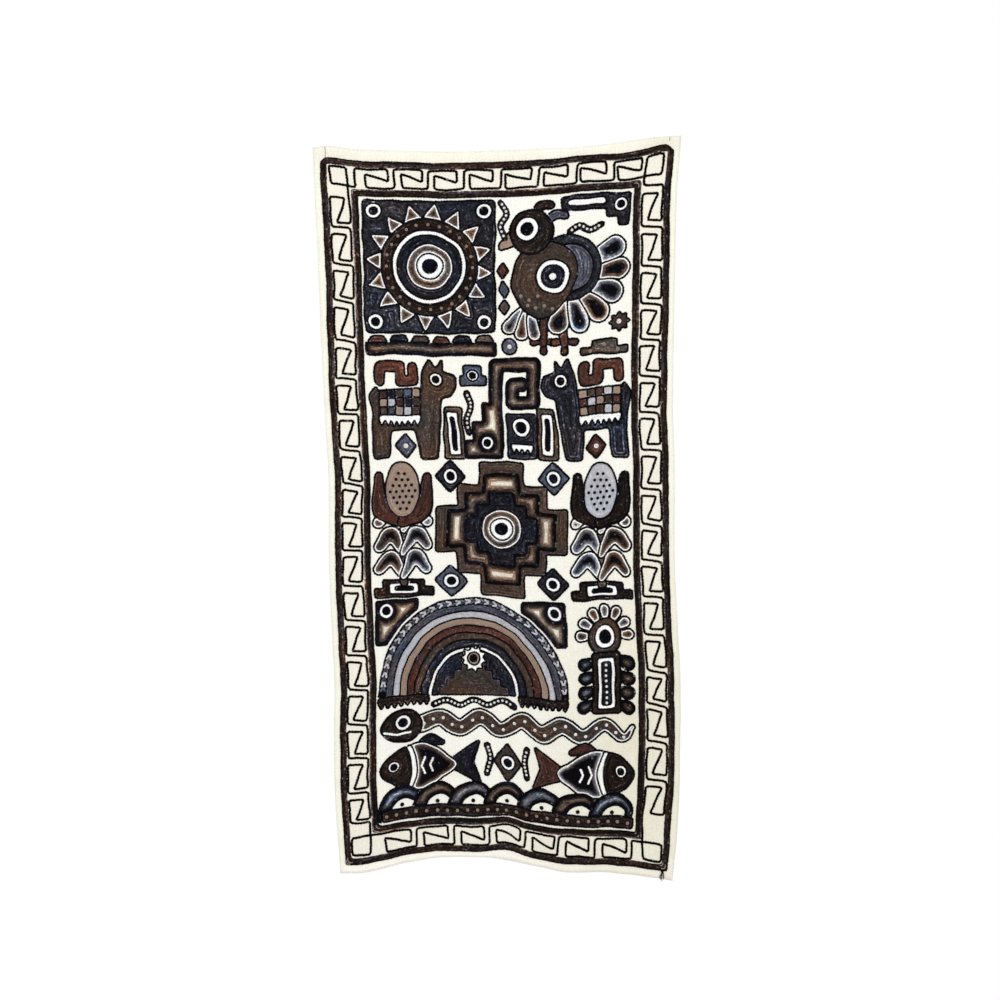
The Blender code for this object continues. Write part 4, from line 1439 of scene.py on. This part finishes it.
def llama(body, patches, under):
    outline = [
        (8, 70), (10, 38), (42, 28), (38, -6), (58, 22), (74, -8), (92, 34), (98, 92), (150, 86), (206, 88),
        (214, 62), (234, 88), (226, 136), (226, 250), (184, 250), (178, 178), (172, 174), (118, 174),
        (112, 178), (106, 250), (62, 250), (50, 160), (44, 94), (20, 90),
    ]
    hook = [(116, 20), (116, 54), (150, 54), (150, 16), (202, 16), (202, 50)]
    trough = [(-6, 120), (36, 120), (44, 190), (44, 250), (-6, 250)]
    cloth, meetings = chequer(100, 74, patches)
    return figure(
        [
            (polygon(outline, 8), body),
            (toothed(98, 134, 113, 7, 18, 16), "white"),
            *cloth,
            *ring(56, 50, 17, 8.5),
            (lozenge(142, 217, 27, 33, 4), under),
            (bar(hook, 12), "rust"),
            (polygon(trough, 5), "olive"),
            (box(3, 132, 33, 240, 6), "white"),
            (box(13, 144, 23, 228, 3), "black"),
        ],
        [(meetings, "black", 3.2), ([(142, 217)], "white", 6.0)],
    )


def middle_hill():
    stairs = [
        (-4, 250), (-4, 204), (22, 204), (22, 158), (48, 158), (48, 112), (74, 112), (74, 66), (98, 66),
        (98, 250),
    ]
    hook = bar([(84, 220), (84, 12), (184, 12), (184, 106), (128, 106), (128, 60), (152, 60)], 16)
    return figure(
        [
            (joined(polygon(stairs, 3), hook), "brown_halo"),
            (box(112, 136, 188, 250, 5), "charcoal"),
            *ring(150, 170, 24, 13),
            (toothed(121, 212, 58, 4, 18, 10), "white"),
            (polygon(stepped(-8, 60, 66, 12, 26, 2), 4), "slate"),
            *ring(26, 40, 15, 7.5),
            *ring(58, 214, 17, 8.5),
        ]
    )


sew_field(
    "field_second_register",
    placed(llama("brown", PATCHES, "slate"), -102, 524, mirror=True),
    placed(middle_hill(), -92, 522),
    beaded([(-84, 608), (-73, 640), (-84, 674), (-80, 706)]),
    placed(llama("charcoal", ("tan", "brown", "rust", "light_grey"), "rust"), 106, 524),
)


# Field, middle register. A large stepped cross shaded from dark to light, with a diamond at each of its
# corners and a maize plant on each side.
def stepped_cross(size):
    """The outline of an even cross with three steps in each quarter."""
    points = []
    for c, s in ((1, 0), (0, 1), (-1, 0), (0, -1)):
        for x, y in ((1, -3), (1, -2), (2, -2), (2, -1), (3, -1)):
            points.append((172 + (x * c - y * s) * size / 3, 172 + (x * s + y * c) * size / 3))
    return points


def big_cross():
    layers = [
        (polygon(stepped_cross(172), 6), "brown"),
        (polygon(stepped_cross(142), 5), "brown_halo"),
        (polygon(stepped_cross(92), 4), "navy"),
        (disc(172, 172, 52), "brown_glow"),
        *ring(172, 172, 29, 15),
    ]
    for x, y, style in ((38, 38, "charcoal"), (306, 38, "slate"), (38, 306, "slate"), (306, 306, "charcoal")):
        layers += [(lozenge(x, y, 42, 42, 5), style), *ring(x, y, 20, 10)]
    return figure(layers)


def maize(left_leaf, right_leaf, cob, husk):
    layers = [
        (polygon(stepped(2, 158, 344, 24, 22, 2), 3), "espresso"),
        (box(42, 308, 118, 336, 5), "white"),
        (box(56, 317, 104, 327, 2), "black"),
        (bar([(80, 306), (80, 110)], 11), "olive"),
    ]
    for low in (292, 232, 172):
        for hand, leaf in ((-1, left_leaf), (1, right_leaf)):
            points = [(80, low), (80 + 32 * hand, low - 50), (80 + 62 * hand, low - 22)]
            layers.append((stroke(points, (9, 21, 15)), leaf))
    layers += [
        (stroke([(80, 152), (26, 118), (18, 36)], (14, 20, 10)), husk),
        (stroke([(80, 152), (134, 118), (142, 36)], (14, 20, 10)), husk),
        (disc(80, 70, 44, 1.6), cob),
    ]
    grains = [(80 + 16 * i + 8 * (j % 2), 14 + 15 * j) for j in range(9) for i in range(-3, 3)]
    grains = [(x, y) for x, y in grains if math.hypot(x - 80, (y - 70) / 1.6) < 35]
    return figure(layers, [(grains, "black", 4.4)])


sew_field(
    "field_middle_register",
    placed(big_cross(), -172, 782),
    placed(maize("brown_glow", "grey_glow", "tan", "rust"), -338, 784),
    placed(maize("grey_glow", "brown_glow", "light_grey", "espresso"), 178, 784),
)


# Field, fourth register. A rainbow of parallel rows in six colours round a night sky with a hill and a
# star, a braid over it, on toothed feet; on the right a post with feathers, and a beaded cord below.
RAINBOW = ("slate", "light_grey", "tan", "rust", "brown", "charcoal")
RAINBOW_STEP = 18.5
RAINBOW_RADIUS = 230
RAINBOW_MIDDLE = (250, 244)
RAINBOW_FOOT = 250


def arch(radius):
    cx, cy = RAINBOW_MIDDLE

    def depth(x, y):
        out = np.where(y < cy, np.hypot(x - cx, y - cy), np.abs(x - cx))
        return np.maximum(out - radius, y - RAINBOW_FOOT)

    return depth


def braid(radius, half, dyes, step):
    """Slanting short rows that meet down the middle of an arch."""
    length = math.radians(176) * radius
    line = np.array([polar(*RAINBOW_MIDDLE, radius, a) for a in np.linspace(182, 358, int(length / 5))])
    reach = distances(line)
    at = np.arange(step * 0.6, reach[-1] - step * 0.9, step)
    aheads = points_at(line, reach, at + step * 0.9)
    rows = []
    for k, (spot, ahead) in enumerate(zip(points_at(line, reach, at), aheads)):
        run = (ahead - spot) / np.linalg.norm(ahead - spot)
        side = np.array([-run[1], run[0]])
        for hand in (-1, 1):
            outer = spot + side * half * hand - run * 3
            middle = spot + side * half * 0.55 * hand + run * 1.5
            rows.append(([outer, middle, ahead + side * hand * 0.8], dyes[k % len(dyes)]))
    return rows


def rainbow():
    cx, cy = RAINBOW_MIDDLE
    inner = RAINBOW_RADIUS - len(RAINBOW) * RAINBOW_STEP
    feet = RAINBOW_RADIUS - inner + 18
    layers = []
    for left, hole in ((2, 29), (386, 471)):
        corner = box(left, 0, left + 112, 112, 8)
        layers += [(cut_by(corner, disc(cx, cy, RAINBOW_RADIUS + 26)), "brown_halo"), *ring(hole, 27, 20, 10)]
    layers.append((arch(RAINBOW_RADIUS + 16), "black"))
    layers += [(arch(RAINBOW_RADIUS - number * RAINBOW_STEP), style) for number, style in enumerate(RAINBOW)]
    layers += [
        (arch(inner), "white"),
        (arch(inner - 10), "navy"),
        (polygon(stepped(cx - 92, cx + 92, RAINBOW_FOOT, 20, 21, 4), 3), "brown"),
        (polygon(star(cx, 158, 10, 38, 24, 9), 3), "white"),
        *ring(cx, 158, 17, 9, "tan"),
        (toothed(4, RAINBOW_FOOT - 2, feet, 8, 16, 14), "espresso"),
        (toothed(2 * cx - feet - 4, RAINBOW_FOOT - 2, feet, 8, 16, 14), "espresso"),
    ]
    return figure(layers, details=braid(RAINBOW_RADIUS + 8, 7, ("slate", "light_grey"), 12))


def feather_post():
    layers = fan(66, 80, 28, 64, 180, 360, 7, 14, ("brown_glow", "grey_glow"))
    layers += [(disc(66, 84, 44), "brown"), *ring(66, 84, 28, 15)]
    for y in range(142, 290, 37):
        layers.append((bar([(36, y), (8, y + 10)], (9, 16)), "grey_halo"))
        layers.append((bar([(96, y), (122, y + 10)], (9, 16)), "brown_halo"))
    for left, top, right, bottom, rounding, style in (
        (30, 122, 102, 278, 8, "espresso"), (43, 135, 89, 266, 6, "white"), (54, 146, 78, 255, 4, "navy"),
    ):
        layers.append((box(left, top, right, bottom, rounding), style))
    return figure(layers, [([(66, 155 + 13.6 * k) for k in range(8)], "white", 3.6)])


sew_field(
    "field_fourth_register",
    placed(rainbow(), -338, 1136),
    placed(feather_post(), 194, 1138),
    beaded([(-194, 1412), (-160, 1400), (-124, 1414), (-88, 1400), (-52, 1414), (-16, 1400), (16, 1412)]),
)


# Field, lowest register. A spotted serpent over two fish that face outwards, with a diamond and two beaded
# cords between them, and a running scroll of waves over dark water.
def serpent():
    points = [
        (656, 24), (628, 52), (584, 22), (530, 52), (476, 22), (422, 52), (368, 22), (314, 52), (260, 22),
        (206, 52), (156, 22), (104, 38), (66, 36),
    ]
    head = blob([(0, 42), (28, 4), (78, 2), (104, 34), (84, 74), (28, 74)])
    body = stroke(points, (6, 17, 21, 21, 21, 22, 22))
    spots = smooth_line(points, closed=False)[7:-9:4]
    return figure(
        [(body, "brown_lip"), (head, "espresso"), *ring(56, 32, 20, 10)],
        [(spots, "white", 4.2)],
        [([(6, 50), (40, 60), (78, 56)], "white")],
    )


def fish(style, tail):
    body = blob([(-8, 66), (44, 12), (124, 0), (190, 34), (222, 66), (190, 98), (124, 134), (44, 120)])
    return figure(
        [
            (polygon([(196, 54), (292, -6), (270, 62), (292, 128), (196, 76)], 8), tail),
            (stroke([(104, 12), (140, -8), (176, 2)], (9, 16, 8)), tail),
            (body, style),
            (clipped(stroke([(70, -6), (94, 66), (70, 140)], 10), body), "white"),
            (clipped(disc(-40, 66, 125), body), "espresso"),
            *ring(32, 58, 18, 9),
        ],
        details=[([(128, 40), (118, 66), (128, 92)], "white"), ([(152, 46), (143, 66), (152, 86)], "white")],
    )


def waves():
    crest = stroke([(-16, 68), (6, 26), (48, 10), (82, 32), (78, 60)], (15, 16, 15, 11, 7))
    layers = [(moved(crest, 92.5 * k + 18, 0), ("grey_halo", "brown_halo")[k % 2]) for k in range(7)]
    layers.append((box(0, 55, 668, 83, 5), "espresso"))
    drops = [(13 + 26.75 * k, 69) for k in range(25)]
    foam = [(92.5 * k + 57, 44) for k in range(7)]
    return figure(layers, [(drops, "tan", 4.4), (foam, "black", 5.5)])


def diamond():
    return figure([(lozenge(40, 46, 38, 52, 5), "brown"), *ring(40, 46, 20, 10)])


sew_field(
    "field_lowest_register",
    placed(serpent(), -330, 1424),
    placed(fish("brown_glow", "navy"), -326, 1512, size=0.88),
    placed(fish("grey_glow", "rust"), 326, 1512, mirror=True, size=0.88),
    placed(diamond(), -40, 1516),
    beaded([(-52, 1520), (-46, 1556), (-54, 1596)]),
    beaded([(52, 1520), (46, 1556), (54, 1596)]),
    placed(waves(), -334, 1622),
)


# Yarn tails. The border yarn's cut ends, knotted together below the outer band at the lower right corner
# and hanging loose over the margin.
TAIL_ROOT = (0.4220, 1.7990)
# The knot: its radius, how far its middle is off the cloth, and how full its ends are.
KNOT_RADIUS = 0.0036
KNOT_OFF = 0.0026
KNOT_END = 0.02
TAIL_SIDES = 6
# Rings of points a step, steps in the longest strand, and how flat a strand lies.
TAIL_RINGS = 4
MOST_STEPS = 6
TAIL_FLATNESS = 0.8
# Each tail, from the knot to its frayed tip. Columns: place across, down and off the cloth, thickness.
TAILS = (
    ((0.0000, 0.000, 0.0030, 0.0027), (-0.0022, 0.005, 0.0036, 0.0025), (-0.0048, 0.011, 0.0030, 0.0024),
     (-0.0040, 0.016, 0.0024, 0.0022), (-0.0026, 0.020, 0.0022, 0.0010)),
    ((0.0005, 0.000, 0.0034, 0.0027), (0.0000, 0.006, 0.0040, 0.0025), (-0.0008, 0.013, 0.0034, 0.0024),
     (0.0006, 0.019, 0.0026, 0.0022), (0.0018, 0.023, 0.0024, 0.0010)),
    ((0.0010, 0.000, 0.0030, 0.0027), (0.0034, 0.004, 0.0038, 0.0025), (0.0046, 0.010, 0.0034, 0.0024),
     (0.0048, 0.014, 0.0026, 0.0022), (0.0056, 0.018, 0.0022, 0.0010)),
)


def make_yarn_tails():
    """Round tapering strands and a soft knot, laid on the hung cloth."""
    knot = [
        (0.0, t * KNOT_RADIUS, KNOT_OFF, 2 * KNOT_RADIUS * math.sqrt(max(1 - t * t, KNOT_END)))
        for t in np.linspace(-1, 1, MOST_STEPS + 1)
    ]
    turn = np.linspace(0, 2 * math.pi, TAIL_SIDES, endpoint=False)
    here = np.arange(TAIL_SIDES)
    there = np.roll(here, -1)
    parts = []
    first = 0
    for strand in (*TAILS, knot):
        line = np.array(strand)
        at = np.linspace(0, len(line) - 1, TAIL_RINGS * (len(line) - 1) + 1)
        across, down, off, thick = (np.interp(at, range(len(line)), column)[:, None] for column in line.T)
        across = across + thick / 2 * np.cos(turn) + TAIL_ROOT[0]
        down = np.repeat(down, TAIL_SIDES, axis=1) + TAIL_ROOT[1] + KNOT_RADIUS
        off = off + thick / 2 * np.sin(turn) * TAIL_FLATNESS
        near = np.arange(len(at) - 1)[:, None] * TAIL_SIDES
        far = near + TAIL_SIDES
        faces = np.stack([near + here, far + here, far + there, near + there], axis=-1)
        u = np.arange(len(at) - 1)[:, None, None] / TAIL_RINGS + np.array([0, 1, 1, 0]) / TAIL_RINGS
        v = (here[:, None] + np.array([0, 0, 1, 1])) / TAIL_SIDES
        corners = np.stack(np.broadcast_arrays(u, v), axis=-1).reshape(-1, 2)
        places = np.stack([across, down], axis=-1).reshape(-1, 2)
        parts.append((places, off.ravel(), first + faces.reshape(-1, 4), corners))
        first += len(places)
    places, heights, faces, corners = [np.concatenate(part) for part in zip(*parts)]
    maps = {"stitches": corners, "OFBake": corners / (MOST_STEPS, 1)}
    dyes = np.tile(np.array(DYES["black"]), (len(places), 1))
    return mesh_from_arrays("border_yarn_tails", hung(places, heights), faces, maps, dyes, black_yarn)


yarn_tails = make_yarn_tails()
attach(yarn_tails, "root")
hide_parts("yarn_tails")


# Guide threads. Two short thin olive-grey threads in the top margin, left from marking out the border and
# caught down at both ends.
GUIDE_WIDTH = 0.0014
GUIDE_HEIGHT = 0.0006
# Columns: across at the start, across at the end, start down, end down.
GUIDE_THREADS = ((-0.4200, -0.4196, 0.0010, 0.0265), (0.4205, 0.4209, 0.0010, 0.0200))
guides = new_work()
for start, end, top, foot in GUIDE_THREADS:
    add_row(guides, [(start, top), (end, foot)], "guide", False, GUIDE_WIDTH, height=GUIDE_HEIGHT, uneven=0)
guide_yarn = wool_yarn_material("olive_guide_thread")
guide_threads = stitched_piece("guide_threads", guides, guide_yarn)


# Reverse side. Behind each row of chain the yarn shows as a line of short straight stitches, one a link,
# flat against the back of the cloth.
BACK_WIDTH = 0.0021
BACK_HEIGHT = 0.0006
BACK_LENGTH = 0.78
BACK_TONE = LINK_TONE / 2


def make_reverse_side():
    places, dyes = [], []
    for place, closed, dye in sewn_rows:
        necks = place[0::2]
        after = np.roll(necks, -1, axis=0)
        if not closed:
            necks, after = necks[:-1], after[:-1]
        run = after - necks
        side = np.stack([-run[:, 1], run[:, 0]], axis=-1)
        side = side / np.linalg.norm(run, axis=1, keepdims=True) * BACK_WIDTH / 2
        start, end = necks + run * (1 - BACK_LENGTH) / 2, after - run * (1 - BACK_LENGTH) / 2
        places.append(np.stack([start - side, end - side, end + side, start + side], axis=1).reshape(-1, 2))
        tone = np.exp(BACK_TONE * draw.normal(size=(len(necks), 1)))
        dyes.append(np.repeat(np.minimum(np.array(dye) * tone, 1.0), 4, axis=0))
    places, dyes = np.concatenate(places), np.concatenate(dyes)
    heights = np.full(len(places), -CLOTH_THICKNESS - BACK_HEIGHT)
    faces = np.arange(len(places)).reshape(-1, 4)
    corners = np.tile([(0.0, -1.0), (1.0, -1.0), (1.0, 1.0), (0.0, 1.0)], (len(faces), 1))
    low, high = places.min(axis=0), places.max(axis=0)
    maps = {"stitches": corners, "OFBake": (places - low) / (high - low)}
    return mesh_from_arrays("reverse_side_stitches", hung(places, heights), faces, maps, dyes, field_yarn)


reverse_side = make_reverse_side()
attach(reverse_side, "root")


# Room. A plain pale floor under the hanging, even white light all round, and large soft lamps in front at the
# left and right and behind. The left one is stronger than the right, so that the folds show faintly.
FLOOR_HEIGHT = -2.92
FLOOR_RADIUS = 1.45
FLOOR_SIDES = 96
FLOOR_COLOUR = (0.86, 0.85, 0.83)
# Columns: name, place, width, watts.
LAMPS = (
    ("left_soft_lamp", (-2.6, -3.0, 1.2), 2.6, 57.0),
    ("right_soft_lamp", (2.8, -2.8, 0.2), 2.6, 38.0),
    ("back_soft_lamp", (0.6, 3.2, 1.6), 2.4, 60.0),
)
LAMPS_AIM = (0.0, 0.0, -0.90)
LIGHT_ALL_ROUND = 0.74


def make_floor():
    mesh = bpy.data.meshes.new("floor")
    turns = np.linspace(0, 2 * math.pi, FLOOR_SIDES, endpoint=False)
    rim = [(FLOOR_RADIUS * math.cos(a), FLOOR_RADIUS * math.sin(a), FLOOR_HEIGHT) for a in turns]
    mesh.from_pydata(rim, [], [list(range(FLOOR_SIDES))])
    floor = bpy.data.objects.new("floor", mesh)
    bpy.context.scene.collection.objects.link(floor)
    material, add, _, between = node_maker("pale_floor")
    shader = material.node_tree.nodes["Principled BSDF"]
    grain = add("ShaderNodeTexNoise", None, {"Scale": 60.0, "Detail": 4.0}).outputs["Fac"]
    material.node_tree.links.new(between(grain, 0.0, 1.0, 0.6, 0.75), shader.inputs["Roughness"])
    shader.inputs["Base Color"].default_value = (*FLOOR_COLOUR, 1)
    mesh.materials.append(material)
    return floor


def set_up(name, data, place, target):
    """A lamp or camera at a place, turned towards its target."""
    thing = bpy.data.objects.new(name, data)
    thing.location = place
    way = np.array(target) - np.array(place)
    pitch = math.atan2(way[2], math.hypot(way[0], way[1]))
    thing.rotation_euler = (math.pi / 2 + pitch, 0.0, math.atan2(-way[0], way[1]))
    bpy.context.scene.collection.objects.link(thing)
    return thing


make_floor()
for name, place, size, power in LAMPS:
    lamp = bpy.data.lights.new(name, "AREA")
    lamp.shape = "DISK"
    lamp.size = size
    lamp.energy = power
    set_up(name, lamp, place, LAMPS_AIM)

world = bpy.data.worlds.new("even_white_room")
bpy.context.scene.world = world
world.use_nodes = True
nodes, links = world.node_tree.nodes, world.node_tree.links
background = nodes["Background"]
background.inputs["Color"].default_value = (1, 1, 1, 1)
seen = nodes.new("ShaderNodeLightPath")
strength = nodes.new("ShaderNodeMapRange")
strength.inputs["To Min"].default_value = LIGHT_ALL_ROUND
strength.inputs["To Max"].default_value = 1.0
links.new(seen.outputs["Is Camera Ray"], strength.inputs["Value"])
links.new(strength.outputs[0], background.inputs["Strength"])
view = bpy.context.scene.view_settings
view.view_transform = "Standard"
view.look = "None"
view.exposure = 0.0
view.gamma = 1.0


# Camera. About 3 m in front of the wall and a little above the middle of the hanging, on its middle line and
# tipped slightly down.
CAMERA_PLACE = (0.0073, -2.9784, -0.6707)
CAMERA_AIM = (0.0073, 0.0160, -0.8538)
LENS = 43.37
camera_data = bpy.data.cameras.new("front_camera")
camera_data.lens = LENS
camera_data.sensor_width = 36.0
bpy.context.scene.camera = set_up("front_camera", camera_data, CAMERA_PLACE, CAMERA_AIM)
